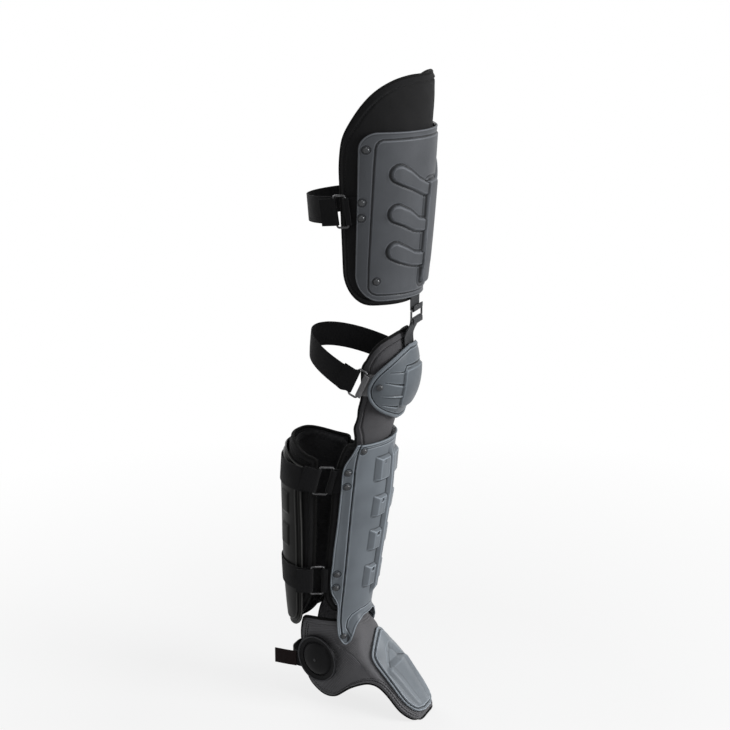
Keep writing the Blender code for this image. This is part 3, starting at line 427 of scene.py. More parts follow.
def bare_foot_points(station: Array, share: Array) -> Array:
    """Places points on the foot cover's outer face.

    Args:
        station: Places along the front line, counted in FOOT_STATIONS.
        share: 0 at the front of the arch and 1 or -1 at its ends.

    Returns:
        The points, with x, y and z along the last axis.
    """
    x, z, tilt, reach, half, deep = (curve.at(station) for curve in FOOT_CURVES)
    turn = np.minimum(np.abs(share) / FOOT_ARCH_SHARE, 1.0) * math.pi / 2
    extra = np.maximum(np.abs(share) - FOOT_ARCH_SHARE, 0.0) / (1.0 - FOOT_ARCH_SHARE) * (reach - deep)
    width = half * np.sin(turn) - FOOT_TAPER * extra**2
    point, soft = CREST_POINT.at(station), CREST_SOFTNESS
    wedge = (np.sqrt(turn**2 + soft**2) - soft) / (math.sqrt((math.pi / 2)**2 + soft**2) - soft)
    run = deep * ((1.0 - point) * (1.0 - np.cos(turn)) + point * wedge) + extra
    run = run + CREST_DROP.at(station) * (1.0 - smooth(0.0, 0.9, np.abs(share) / FOOT_ARCH_SHARE))
    tilt = np.radians(tilt)
    return np.stack([x - np.cos(tilt) * run, np.copysign(width, share), z - np.sin(tilt) * run], -1)


def foot_points(station: Array, share: Array, out: Array = 0.0) -> Array:
    """Places points off the foot cover's outer face.

    Args:
        station: Places along the front line, counted in FOOT_STATIONS.
        share: 0 at the front of the arch and 1 or -1 at its ends.
        out: How far each point lies outside the face.

    Returns:
        The points, with x, y and z along the last axis.
    """
    station, share = np.broadcast_arrays(np.asarray(station, float), np.asarray(share, float))
    later, earlier = np.minimum(station + 0.05, FOOT_LAST), np.maximum(station - 0.05, 0.0)
    along = bare_foot_points(later, share) - bare_foot_points(earlier, share)
    right, left = np.minimum(share + 0.01, 1.0), np.maximum(share - 0.01, -1.0)
    across = bare_foot_points(station, right) - bare_foot_points(station, left)
    normal = unit(np.cross(along, across))
    return bare_foot_points(station, share) + normal * np.asarray(out, float)[..., None]


# ---------------------------------------------------------------- finishes


CLOTH_SPECULAR = 0.08


class Nodes:
    """A material's node tree, with short calls to add and join its nodes."""

    def __init__(self, name: str) -> None:
        """Starts a material with its shader."""
        self.material = bpy.data.materials.new(name)
        self.material.use_nodes = True
        self.tree = self.material.node_tree
        self.shader = self.tree.nodes["Principled BSDF"]

    def put(self, value: object, socket: Socket) -> None:
        """Joins a socket to an input, or sets the input's value."""
        if isinstance(value, Socket):
            self.tree.links.new(value, socket)
        else:
            socket.default_value = value

    def add(self, kind: str, settings: dict | None = None, **inputs: object) -> bpy.types.Node:
        """Adds a node, sets its fields and values, and joins the sockets that it is given.

        Args:
            kind: The node's type, without its prefix.
            settings: Fields of the node itself.
            inputs: Values or sockets for its inputs, by name with _ for a space, or by i and a number.

        Returns:
            The node.
        """
        node = self.tree.nodes.new("ShaderNode" + kind)
        for key, value in (settings or {}).items():
            setattr(node, key, value)
        for key, value in inputs.items():
            name = key.replace("_", " ")
            numbered = name[0] == "i" and name[1:].isdigit()
            self.put(value, node.inputs[int(name[1:]) if numbered else name])
        return node

    def math(self, operation: str, one: object, two: object) -> Socket:
        """A sum or product of two sockets or numbers."""
        return self.add("Math", {"operation": operation}, i0=one, i1=two).outputs[0]

    def mix(self, share: object, one: object, two: object) -> Socket:
        """A colour between two colours."""
        return self.add("Mix", {"data_type": "RGBA"}, i0=share, i6=one, i7=two).outputs[2]

    def noise(self, where: Socket, scale: float, detail: float = 3.0) -> Socket:
        """A noise value at this scale."""
        return self.add("TexNoise", None, Vector=where, Scale=scale, Detail=detail).outputs["Fac"]

    def bands(self, where: Socket, way: str, pitch: float, distortion: float) -> Socket:
        """Even bands across X or Y, as threads or ribs, with a pitch in millimetres."""
        scale = 2.0 * math.pi / (20.0 * pitch * MM)
        node = self.add("TexWave", {"wave_type": "BANDS", "bands_direction": way}, Vector=where, Scale=scale,
                        Distortion=distortion, Detail=1.0)
        return node.outputs["Fac"]

    def ranged(self, value: Socket, low: float, high: float, start: float = 0.3,
               stop: float = 0.7) -> Socket:
        """A value spread from low to high."""
        return self.add("MapRange", None, Value=value, From_Min=start, From_Max=stop, To_Min=low,
                        To_Max=high).outputs["Result"]

    def wire_up(self, **inputs: object) -> None:
        """Joins sockets, or sets values, on the shader."""
        for key, value in inputs.items():
            self.put(value, self.shader.inputs[key.replace("_", " ")])


def shade(color: Color, times: float) -> tuple[float, float, float, float]:
    """A colour made lighter or darker, with its alpha."""
    return (*(min(c * times, 1.0) for c in color), 1.0)


@dataclass(frozen=True)
class MouldedPlastic:
    """Satin moulded plastic: fine grain, soft mottling, a painted highlight on crests and painted shade in
    hollows.
    """

    color: Color
    roughness: float = 0.42
    grain: float = 0.16
    # crest lightens the colour on crests as a painted highlight, and hollow darkens it in hollows as painted
    # shade.
    crest: float = 1.9
    hollow: float = 0.28
    specular: float = 0.18

    def make(self, name: str) -> bpy.types.Material:
        """Builds the material."""
        nodes = Nodes(name)
        place = nodes.add("TexCoord").outputs["Object"]
        crest = nodes.add("Attribute", {"attribute_name": "crest"}).outputs["Fac"]
        patches = nodes.noise(place, 22.0)
        cast = nodes.mix(nodes.ranged(patches, 0.0, 1.0), shade(self.color, 0.88), shade(self.color, 1.1))
        # The crest attribute paints a highlight on crests and paints shade in hollows.
        raised = nodes.ranged(crest, 0.0, 0.9, 0.08, 0.8)
        sunk = nodes.ranged(crest, 1.0, 0.0, -0.75, -0.05)
        rubbed = nodes.mix(raised, cast, shade(self.color, self.crest))
        hollow_shade = nodes.mix(sunk, rubbed, shade(self.color, self.hollow))
        specks = nodes.noise(place, 260.0, 2.0)
        fine = nodes.noise(place, 1500.0, 2.0)
        rough = nodes.ranged(nodes.noise(place, 48.0), self.roughness - 0.05, self.roughness + 0.07)
        height = nodes.math("ADD", nodes.math("MULTIPLY", specks, 0.35), fine)
        bump = nodes.add("Bump", None, Height=height, Strength=self.grain, Distance=0.00025)
        nodes.wire_up(Base_Color=hollow_shade, Roughness=rough, Normal=bump.outputs["Normal"],
                      Specular_IOR_Level=self.specular)
        return nodes.material


@dataclass(frozen=True)
class WovenCloth:
    """Padded cover cloth: a close weave along the piece's own lengths, with a dull sheen."""

    color: Color
    pitch: float = 1.5
    sheen: float = 0.25
    relief: float = 0.5

    def make(self, name: str) -> bpy.types.Material:
        """Builds the material."""
        nodes = Nodes(name)
        lengths = nodes.add("UVMap", {"uv_map": "UVMap"}).outputs["UV"]
        place = nodes.add("TexCoord").outputs["Object"]
        threads = [nodes.bands(lengths, way, self.pitch, 0.6) for way in ("X", "Y")]
        weave = nodes.math("MULTIPLY", threads[0], threads[1])
        fuzz = nodes.noise(place, 900.0, 4.0)
        patches = nodes.noise(place, 16.0, 4.0)
        cast = nodes.mix(nodes.ranged(patches, 0.0, 1.0), shade(self.color, 0.8), shade(self.color, 1.2))
        dyed = nodes.mix(nodes.ranged(weave, 0.0, 0.45, 0.0, 1.0), cast, shade(self.color, 1.8))
        height = nodes.math("ADD", weave, nodes.math("MULTIPLY", fuzz, 0.6))
        bump = nodes.add("Bump", None, Height=height, Strength=self.relief, Distance=0.0004)
        rough = nodes.ranged(patches, 0.86, 0.97)
        nodes.wire_up(Base_Color=dyed, Roughness=rough, Normal=bump.outputs["Normal"],
                      Sheen_Weight=self.sheen, Sheen_Roughness=0.45, Specular_IOR_Level=CLOTH_SPECULAR)
        return nodes.material


@dataclass(frozen=True)
class RibbedWebbing:
    """Woven webbing: ribs across the band and fine threads along it."""

    color: Color
    rib: float = 2.2
    thread: float = 1.1
    sheen: float = 0.12

    def make(self, name: str) -> bpy.types.Material:
        """Builds the material."""
        nodes = Nodes(name)
        lengths = nodes.add("UVMap", {"uv_map": "UVMap"}).outputs["UV"]
        place = nodes.add("TexCoord").outputs["Object"]
        ribs, threads = nodes.bands(lengths, "X", self.rib, 0.4), nodes.bands(lengths, "Y", self.thread, 0.4)
        weave = nodes.math("ADD", nodes.math("MULTIPLY", ribs, 0.7), nodes.math("MULTIPLY", threads, 0.5))
        patches = nodes.noise(place, 30.0)
        cast = nodes.mix(nodes.ranged(patches, 0.0, 1.0), shade(self.color, 0.8), shade(self.color, 1.25))
        dyed = nodes.mix(nodes.ranged(weave, 0.0, 0.5, 0.0, 1.2), cast, shade(self.color, 1.9))
        bump = nodes.add("Bump", None, Height=weave, Strength=0.6, Distance=0.0005)
        nodes.wire_up(Base_Color=dyed, Roughness=nodes.ranged(patches, 0.72, 0.88),
                      Normal=bump.outputs["Normal"], Sheen_Weight=self.sheen,
                      Specular_IOR_Level=CLOTH_SPECULAR)
        return nodes.material


@dataclass(frozen=True)
class CoatedMetal:
    """Bent wire or rivet metal with a dark coating that is worn through in places."""

    color: Color
    bare: Color = (0.34, 0.34, 0.35)
    metallic: float = 0.75
    roughness: float = 0.3
    # How much of the coating is worn through to bare metal, as real wear.
    rubbed: float = 0.35

    def make(self, name: str) -> bpy.types.Material:
        """Builds the material."""
        nodes = Nodes(name)
        place = nodes.add("TexCoord").outputs["Object"]
        scuffs = nodes.noise(place, 140.0, 4.0)
        share = nodes.ranged(scuffs, 0.0, self.rubbed, 0.5, 0.75)
        worn = nodes.mix(share, (*self.color, 1.0), (*self.bare, 1.0))
        rough = nodes.ranged(nodes.noise(place, 60.0), self.roughness - 0.06, self.roughness + 0.12)
        bump = nodes.add("Bump", None, Height=scuffs, Strength=0.12, Distance=0.0002)
        nodes.wire_up(Base_Color=worn, Roughness=rough, Metallic=self.metallic, Normal=bump.outputs["Normal"])
        return nodes.material


class Finish(Enum):
    """The finishes, each with the name of its slot and its look."""

    # The thigh shell is a darker copy of the grey shell, as painted shade.
    THIGH_SHELL = ("dark_shell", MouldedPlastic((0.062, 0.066, 0.073), 0.46))
    GREY_SHELL = ("grey_shell", MouldedPlastic((0.133, 0.150, 0.168), 0.42))
    # The cup's shell is a darker copy of the grey shell, as painted shade, and the instep's shell a lighter
    # copy, as painted light.
    CUP_SHELL = ("grey_shell", MouldedPlastic((0.096, 0.109, 0.122), 0.42))
    INSTEP_SHELL = ("grey_shell", MouldedPlastic((0.178, 0.198, 0.218), 0.38))
    # The calf shell and the ankle discs take a strong crest factor, which paints a highlight along their rims
    # and tops.
    CALF_SHELL = ("black_shell", MouldedPlastic((0.014, 0.014, 0.0135), 0.42, crest=5.5, specular=0.06))
    DISC = ("ankle_disc", MouldedPlastic((0.013, 0.013, 0.014), 0.42, crest=9.0, specular=0.06))
    COVER = ("padding", WovenCloth((0.012, 0.012, 0.0125), sheen=0.08))
    KNEE_COVER = ("padding", WovenCloth((0.066, 0.065, 0.069), sheen=0.15))
    FOOT_COVER = ("padding", WovenCloth((0.122, 0.121, 0.127), sheen=0.15))
    LINING = ("padding", WovenCloth((0.034, 0.034, 0.036), 2.6, 0.1, 0.8))
    BINDING = ("padding", WovenCloth((0.007, 0.007, 0.007), 1.0, 0.05))
    THREAD = ("padding", WovenCloth((0.022, 0.022, 0.023), 0.6, 0.1))
    WEBBING = ("webbing", RibbedWebbing((0.006, 0.006, 0.0065), sheen=0.03))
    GREY_WEBBING = ("webbing", RibbedWebbing((0.17, 0.17, 0.175)))
    LINK_WEBBING = ("webbing", RibbedWebbing((0.028, 0.029, 0.031)))
    RUST_WEBBING = ("webbing", RibbedWebbing((0.012, 0.008, 0.008), sheen=0.03))
    WIRE = ("wire", CoatedMetal((0.05, 0.05, 0.052), metallic=0.85, roughness=0.22))
    RIVET = ("rivet", CoatedMetal((0.026, 0.028, 0.031), metallic=0.3, roughness=0.24, rubbed=0.12))

    @property
    def slot(self) -> str:
        """The name of its slot."""
        return self.value[0]

    def make(self) -> bpy.types.Material:
        """Builds its material, named as the finish is."""
        return self.value[1].make(self.name.lower())


MADE: dict[Finish, bpy.types.Material] = {}


def material(finish: Finish) -> bpy.types.Material:
    """The material of a finish, made once."""
    if finish not in MADE:
        MADE[finish] = finish.make()
    return MADE[finish]


# ---------------------------------------------------------------- mesh work


def only(obj: Piece) -> None:
    """Selects this object and no other."""
    bpy.ops.object.select_all(action="DESELECT")
    obj.select_set(True)
    bpy.context.view_layer.objects.active = obj


def apply_modifier(obj: Piece, kind: str, **settings: object) -> None:
    """Adds a modifier with these fields and applies it."""
    only(obj)
    modifier = obj.modifiers.new(kind.lower(), kind)
    for key, value in settings.items():
        setattr(modifier, key, value)
    bpy.ops.object.modifier_apply(modifier=modifier.name)


def wrapped(name: str, across: int, up: int, place: Callable[[Array, Array], Array],
            lengths: Callable[[Array, Array], Array], dense: float = 0.35) -> Piece:
    """Wraps a grid primitive on a surface.

    Args:
        name: The piece's name.
        across: Cells across.
        up: Cells up.
        place: Gives points in millimetres for s from -1 to 1 across and t from 0 to 1 up.
        lengths: Gives the cloth lengths in millimetres at the same places, for the UV map.
        dense: How much closer together the cells are at the edges.

    Returns:
        The piece.
    """
    bpy.ops.object.select_all(action="DESELECT")
    bpy.ops.mesh.primitive_grid_add(x_subdivisions=across, y_subdivisions=up, size=2.0, location=(0, 0, 0))
    obj = bpy.context.active_object
    obj.name = obj.data.name = name
    flat = np.empty(len(obj.data.vertices) * 3)
    obj.data.vertices.foreach_get("co", flat)
    s, t = (flat.reshape(-1, 3)[:, k] for k in (0, 1))
    s, t = ((1.0 - dense) * v + dense * np.sin(v * math.pi / 2) for v in (s, t))
    t = np.clip((t + 1.0) / 2.0, 0.0, 1.0)
    obj.data.vertices.foreach_set("co", (place(s, t) * MM).ravel())
    sizes = lengths(s, t) * MM
    corner = np.empty(len(obj.data.loops), np.int32)
    obj.data.loops.foreach_get("vertex_index", corner)
    obj.data.uv_layers[0].name = "UVMap"
    obj.data.uv_layers["UVMap"].data.foreach_set("uv", sizes[corner].ravel())
    obj.data.update()
    return obj


def map_places(mesh: bpy.types.Mesh) -> tuple[Array, Array]:
    """A wrapped mesh's lengths across and up at each vertex, in millimetres, read back from its UV map."""
    uv = np.empty(len(mesh.loops) * 2)
    mesh.uv_layers["UVMap"].data.foreach_get("uv", uv)
    corner = np.empty(len(mesh.loops), np.int32)
    mesh.loops.foreach_get("vertex_index", corner)
    places = np.zeros((len(mesh.vertices), 2))
    places[corner] = uv.reshape(-1, 2) / MM
    return places[:, 0], places[:, 1]


def turned_piece(name: str, profile: Sequence[tuple[float, float]], sides: int) -> Piece:
    """Turns a solid about Z.

    Args:
        name: The piece's name.
        profile: Points of (radius, rise) that start and end on the axis, or that close on themselves.
        sides: Cells round the axis.

    Returns:
        The piece.
    """
    radius, rise = (np.array([row[k] for row in profile]) for k in (0, 1))
    steps = np.arange(len(profile), dtype=float)

    def place(s: Array, t: Array) -> Array:
        """The turned points."""
        turn = s * math.pi
        at = t * (len(profile) - 1)
        reach, lift = np.interp(at, steps, radius), np.interp(at, steps, rise)
        return np.stack([reach * np.cos(turn), reach * np.sin(turn), lift], -1)

    obj = wrapped(name, sides, len(profile) - 1, place, lambda s, t: np.stack([s * 40.0, t * 20.0], -1), 0.0)
    only(obj)
    bpy.ops.object.mode_set(mode="EDIT")
    bpy.ops.mesh.select_all(action="SELECT")
    bpy.ops.mesh.remove_doubles(threshold=1e-6)
    bpy.ops.mesh.normals_make_consistent(inside=False)
    bpy.ops.object.mode_set(mode="OBJECT")
    return obj


def joined(name: str, *pieces: Piece) -> Piece:
    """Joins pieces into one, under this name."""
    bpy.ops.object.select_all(action="DESELECT")
    for piece in pieces:
        piece.select_set(True)
    bpy.context.view_layer.objects.active = pieces[0]
    bpy.ops.object.join()
    pieces[0].name = pieces[0].data.name = name
    return pieces[0]


def copies(source: Piece, name: str, places: list[Matrix]) -> Piece:
    """Copies of a small piece at these places, each with its own mesh, joined as one piece."""
    made = []
    for matrix in places:
        twin = source.copy()
        twin.data = source.data.copy()
        twin.data.transform(matrix)
        bpy.context.scene.collection.objects.link(twin)
        made.append(twin)
    together = joined(name, *made)
    bpy.data.objects.remove(source, do_unlink=True)
    return together


def bent_wire(name: str, points: Array, radius: float, closed: bool = True, sides: int = 3) -> Piece:
    """Makes a round wire or cord as a mesh.

    Args:
        name: The piece's name.
        points: The middle line.
        radius: Half its thickness.
        closed: Whether it is a ring.
        sides: How finely its round is cut.

    Returns:
        The piece.
    """
    curve = bpy.data.curves.new(name, "CURVE")
    curve.dimensions = "3D"
    curve.bevel_depth = radius * MM
    curve.bevel_resolution = sides
    curve.use_fill_caps = True
    spline = curve.splines.new("POLY")
    spline.points.add(len(points) - 1)
    for target, at in zip(spline.points, points):
        target.co = (*(Vector(at) * MM), 1.0)
    spline.use_cyclic_u = closed
    obj = bpy.data.objects.new(name, curve)
    bpy.context.scene.collection.objects.link(obj)
    only(obj)
    bpy.ops.object.convert(target="MESH")
    return bpy.context.active_object


def finish_piece(obj: Piece, body: Body, finish: Finish, *nodes: str, angle: float = 50.0,
                 padded: float | None = None, keep: bool = False) -> Piece:
    """Dresses a piece, puts it on its body and hides the CAD nodes that it stands for.

    Args:
        obj: The piece.
        body: The body it rides on.
        finish: Its finish.
        nodes: The CAD nodes that it stands for.
        angle: The crease angle of its smooth shading, in degrees.
        padded: How full a padded piece is. Not used.
        keep: Whether it keeps the materials that it has.

    Returns:
        The piece.
    """
    if not keep:
        obj.data.materials.clear()
        obj.data.materials.append(material(finish))
    only(obj)
    bpy.ops.object.shade_smooth_by_angle(angle=math.radians(angle))
    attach(obj, body.value)
    finish.slot
    if nodes:
        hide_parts(*nodes)
    LOG.info("%s: %d faces on %s", obj.name, len(obj.data.polygons), body.value)
    return obj


def rivets(name: str, seats: list[tuple[Vector, Vector]], radius: float = RIVET_RADIUS) -> Piece:
    """Sets domed rivet heads as one piece.

    Args:
        name: The piece's name.
        seats: The place and outward direction of each head.
        radius: A head's radius.

    Returns:
        The piece.
    """
    profile = [(0.0, 0.0), (radius, 0.0), (radius, RIVET_RIM)]
    for turn in map(math.radians, (8, 18, 30, 42, 55, 68, 80)):
        rise = RIVET_RIM + (RIVET_RISE - RIVET_RIM) * math.sin(turn)
        profile.append((radius * math.cos(turn) * 0.985, rise))
    profile.append((0.0, RIVET_RISE))
    head = turned_piece(name + "_head", profile, 24)
    spots = []
    for seat, normal in seats:
        turn = normal.to_track_quat("Z", "Y").to_matrix().to_4x4()
        spots.append(Matrix.Translation((seat + normal * RIVET_GAP) * MM) @ turn)
    return copies(head, name, spots)


STITCH_LENGTH = 3.0
STITCH_RADIUS = 0.42


def stitches(name: str, points: Array, normals: Array, closed: bool = True) -> Piece:
    """Sews a row of short thread stitches that lie on a surface.

    Args:
        name: The piece's name.
        points: The middle of each stitch, in order, in millimetres.
        normals: The outward direction at each.
        closed: Whether the row joins up.

    Returns:
        The stitches as one mesh.
    """
    ahead = np.roll(points, -1, axis=0) - np.roll(points, 1, axis=0)
    if not closed:
        ahead[0], ahead[-1] = points[1] - points[0], points[-1] - points[-2]
    ahead = unit(ahead)
    side = unit(np.cross(normals, ahead))
    bpy.ops.object.select_all(action="DESELECT")
    bpy.ops.mesh.primitive_uv_sphere_add(segments=6, ring_count=4, radius=1.0, location=(0, 0, 0))
    seed = bpy.context.active_object
    size = (STITCH_RADIUS * 1.3, STITCH_RADIUS, STITCH_LENGTH / 2)
    shape = np.array([v.co for v in seed.data.vertices]) * size
    faces = [tuple(p.vertices) for p in seed.data.polygons]
    bpy.data.objects.remove(seed, do_unlink=True)
    thread = points[:, None, :]
    for k, way in enumerate((side, normals, ahead)):
        thread = thread + shape[None, :, k:k + 1] * way[:, None, :]
    joins = [tuple(v + k * len(shape) for v in face) for k in range(len(points)) for face in faces]
    mesh = bpy.data.meshes.new(name)
    mesh.from_pydata((thread.reshape(-1, 3) * MM).tolist(), [], joins)
    mesh.uv_layers.new(name="UVMap")
    obj = bpy.data.objects.new(name, mesh)
    bpy.context.scene.collection.objects.link(obj)
    return obj


# ---------------------------------------------------------------- shells and backings


OUTLINE_STEPS = 60
EDGE_ROLL = 1.8
# The crest measure's reach and full rise, which set where the shells' painted highlights and painted shade
# fall.
CREST_REACH = 1.3
CREST_FULL = 0.35


@dataclass
class Wrap:
    """A region of a surface round the leg, with a flat map in millimetres for its outlines.

    Attributes:
        shape: The surface.
        spread: Gives (angle, height) for s across and t up.
        degree: Millimetres of arc to a degree on the flat map.
        middle: The angle at the middle of the flat map.
    """

    shape: "LegShape | FootShape"
    spread: Spread
    degree: float
    middle: float = 0.0

    def flat(self, angle: Array, height: Array) -> tuple[Array, Array]:
        """Places on the flat map."""
        return (np.asarray(angle) - self.middle) * self.degree, np.asarray(height, float)

    def lengths(self, s: Array, t: Array) -> Array:
        """The places on the flat map for s across and t up."""
        return np.stack(self.flat(*self.spread(s, t)), -1)

    def outline(self) -> Outline:
        """The region's edge on the flat map, anticlockwise."""
        steps = OUTLINE_STEPS
        run = np.linspace(-1.0, 1.0, steps)
        rise = (1.0 - np.cos(np.linspace(0.0, math.pi, 2 * steps))) / 2
        ring_s = np.concatenate([run, np.full(2 * steps, 1.0), run[::-1], np.full(2 * steps, -1.0)])
        ring_t = np.concatenate([np.zeros(steps), rise, np.ones(steps), rise[::-1]])
        x, y = self.flat(*self.spread(ring_s, ring_t))
        points = np.stack([x, y], 1)
        keep = np.linalg.norm(points - np.roll(points, 1, axis=0), axis=1) > 1e-6
        return Outline(points[keep])

    def area(self, *places: tuple[float, float], rounding: int = 2) -> Outline:
        """An outline from (angle, height) places."""
        return Outline(np.stack(self.flat(*np.array(places, float).T), 1), rounding)

    def on(self, points: Array, out: float) -> tuple[Array, Array]:
        """Points of the flat map on the surface, or this far out, and the outward directions there."""
        angle, height = points[:, 0] / self.degree + self.middle, points[:, 1]
        at = self.shape.points(angle, height, out)
        across = self.shape.points(angle + 0.5, height, out) - self.shape.points(angle - 0.5, height, out)
        up = self.shape.points(angle, height + 0.5, out) - self.shape.points(angle, height - 0.5, out)
        return at, unit(np.cross(across, up))


def crests(relief: Relief, x: Array, y: Array) -> Array:
    """How sharply the relief stands out (above 0) or is sunk (below 0) at each place of the flat map."""
    ways = ((CREST_REACH, 0), (-CREST_REACH, 0), (0, CREST_REACH), (0, -CREST_REACH))
    around = sum(relief(x + dx, y + dy) for dx, dy in ways) / 4
    return np.clip((relief(x, y) - around) / CREST_FULL, -1.0, 1.0)


def shell(name: str, wrap: Wrap, relief: Relief, across: int, up: int) -> Piece:
    """Moulds a shell: the relief stands on a surface whose edges are rolled over.

    Args:
        name: The piece's name.
        wrap: The region that the shell covers.
        relief: The rise in millimetres at places of the flat map.
        across: Cells across.
        up: Cells up.

    Returns:
        The piece.
    """
    edge = wrap.outline()

    def rolled(x: Array, y: Array) -> Array:
        """The relief with the edge rolled over."""
        inner = EDGE_ROLL - np.clip(edge.depth(x, y), 0.0, EDGE_ROLL)
        return relief(x, y) - (EDGE_ROLL - np.sqrt(np.maximum(EDGE_ROLL**2 - inner**2, 0.0))) * 0.8

    def place(s: Array, t: Array) -> Array:
        """The shell's outer face."""
        angle, height = wrap.spread(s, t)
        return wrap.shape.points(angle, height, rolled(*wrap.flat(angle, height)))

    obj = wrapped(name, across, up, place, wrap.lengths)
    # The crest attribute drives the shell material's painted highlight on crests and painted shade in
    # hollows.
    sharp = crests(rolled, *map_places(obj.data))
    attribute = obj.data.attributes.new("crest", "FLOAT", "POINT")
    attribute.data.foreach_set("value", sharp.astype(np.float32))
    apply_modifier(obj, "SOLIDIFY", thickness=SHELL_WALL * MM, offset=-1.0, use_rim=True)
    return obj


# Shares of a backing's thickness: its face's drop at the edge, what is left at the edge, how far under the
# dropped face the bound edge lies, and the cloth and foam together
PAD_DROP = 0.22
PAD_THIN = 0.34
PAD_BOUND = 0.16
PAD_FOAM = 0.92

# How full a backing is, and how far apart its stitches lie
PAD_FILL = 0.5
SEAM_STEP = 4.6


@dataclass
class Backing:
    """A padded backing: cloth over foam, with a bound edge and a sewn line inside it.

    Attributes:
        name: The piece's name.
        wrap: The region that it covers.
        face: How far its outer face lies from the surface.
        thick: Its full thickness.
        across: Cells across.
        up: Cells up.
        seam: How far the sewn line lies inside the edge.
        crown: How far the foam swells between the seam and the middle.
        binding: The bound edge's radius.
        wrinkle: How uneven the cloth is.
        open_low: Whether the low edge is left unbound.
        finish: The cloth's finish.
    """

    name: str
    wrap: Wrap
    face: float
    thick: float
    across: int
    up: int
    seam: float = 9.0
    crown: float = 0.0
    binding: float = 2.6
    wrinkle: float = 0.5
    open_low: bool = False
    finish: Finish = Finish.COVER

    def edges(self) -> tuple[Outline, float]:
        """The outline that the seams follow, and the height under which the edge is left unbound."""
        edge = self.wrap.outline()
        low = float(edge.points[:, 1].min())
        if not self.open_low:
            return edge, low - 1.0
        points = edge.points.copy()
        points[points[:, 1] < low + 0.5, 1] -= 3.0 * self.seam
        return Outline(points), low + 1.0

    def swell(self, depth: Array) -> Array:
        """The outer face's rise at this depth inside the edge."""
        edge_drop = -(1.0 - smooth(0.0, self.seam * 0.8, depth)) * self.thick * PAD_DROP
        sewn = -1.5 * trough(self.seam, 2.6, depth)
        return edge_drop + sewn + self.crown * smooth(self.seam, self.seam + 22.0, depth)

    def folds(self, x: Array, y: Array) -> Array:
        """Slow unevenness of the cloth."""
        wave = np.sin(x * 0.093 + 1.7 * np.sin(y * 0.037)) + np.sin(y * 0.081 + 1.3 * np.sin(x * 0.051 + 0.7))
        wave += 0.6 * np.sin(x * 0.21 + y * 0.17 + 2.0 * np.sin(y * 0.043))
        return self.wrinkle * wave / 2.6

    def build(self) -> Piece:
        """The padded body, with its cloth and its lining."""
        edge, _ = self.edges()

        def place(s: Array, t: Array) -> Array:
            """The outer face."""
            angle, height = self.wrap.spread(s, t)
            x, y = self.wrap.flat(angle, height)
            depth = edge.depth(x, y)
            rise = self.face + self.swell(depth) + self.folds(x, y) * smooth(2.0, 14.0, depth) - self.wrinkle
            return self.wrap.shape.points(angle, height, rise)

        obj = wrapped(self.name, self.across, self.up, place, self.wrap.lengths)
        depth = edge.depth(*map_places(obj.data))
        full = PAD_THIN + (1.0 - PAD_THIN) * smooth(0.0, self.seam * 1.1, depth)
        group = obj.vertex_groups.new(name="thickness")
        for level in np.unique(np.round(full, 2)):
            group.add(np.nonzero(np.abs(full - level) < 0.00501)[0].tolist(), float(level), "REPLACE")
        for finish in (self.finish, Finish.LINING):
            obj.data.materials.append(material(finish))
        apply_modifier(obj, "SOLIDIFY", thickness=self.thick * PAD_FOAM * MM, offset=-1.0, use_rim=True,
                       vertex_group="thickness", material_offset=1)
        obj.vertex_groups.clear()
        return obj

    def trim(self) -> tuple[Piece, Piece]:
        """The bound edge and the row of stitches."""
        edge, low = self.edges()
        ring = edge.walk(2.0)
        for _ in range(8):
            ring = (np.roll(ring, 1, axis=0) + 2.0 * ring + np.roll(ring, -1, axis=0)) / 4.0
        bound = ring[:, 1] > low
        start = int(np.argmin(bound)) if not bound.all() else 0
        ring = np.roll(ring, -start, axis=0)[np.roll(bound, -start)][::2]
        middle = self.face - self.thick * PAD_DROP - self.thick * PAD_BOUND - self.wrinkle
        points, _ = self.wrap.on(ring, middle)
        tape = bent_wire(self.name + "_binding", points, self.binding, bool(bound.all()))
        if not tape.data.uv_layers:
            tape.data.uv_layers.new(name="UVMap")
        row = edge.walk(SEAM_STEP, self.seam)
        row = row[row[:, 1] > low]
        at, normal = self.wrap.on(row, self.face - 1.1 - self.wrinkle)
        return tape, stitches(self.name + "_stitches", at, normal)

    def dress(self, body: Body, node: str) -> None:
        """Builds the backing and its trim, and puts them on a body for this CAD node."""
        finish_piece(self.build(), body, self.finish, node, padded=PAD_FILL, keep=True)
        tape, thread = self.trim()
        finish_piece(tape, body, Finish.BINDING)
        finish_piece(thread, body, Finish.THREAD)


def rivet_seats(wrap: Wrap, relief: Relief, places: Places, least: float) -> list[tuple[Vector, Vector]]:
    """Finds where rivets sit on both sides of a shell.

    Args:
        wrap: The shell's region.
        relief: Its relief.
        places: Places of (angle, height) on the outer side.
        least: The least distance of a seat from the surface.

    Returns:
        Seats and their outward directions, the outer side first.
    """
    seats = []
    for side in Side:
        for angle, height in places:
            x, y = wrap.flat(np.array([angle]), np.array([height]))
            out = max(float(relief(x, y)[0]) - RIVET_SINK, least)
            turned = -side * angle
            seats.append((wrap.shape.point(turned, height, out), wrap.shape.normal(turned, height)))
    return seats


def side_names(stem: str, count: int) -> list[str]:
    """The names of nodes that are counted on each side."""
    return [f"{stem}_{side.label}_{k}" for side in Side for k in range(1, count + 1)]


# ---------------------------------------------------------------- straps and loops


FOLD_STEPS = 8
LINE_STEPS = 4
TAB_CLEAR = 2.0
HINGE_CLEAR = 4.0
STRAP_STEP = 7.0
WEB_CELL = 2.0
WEB_CELLS_ACROSS = 12
WEB_BEVEL = 0.45
LINK_BAR_HIGH = Vector((33.0, 0.0, 107.0))
LINK_BAR_LOW = Vector((33.0, 0.0, 92.0))


def across(low: Vector, high: Vector) -> Row:
    """The points across a band: its low edge, its middle and its high edge."""
    return low, (low + high) / 2, high


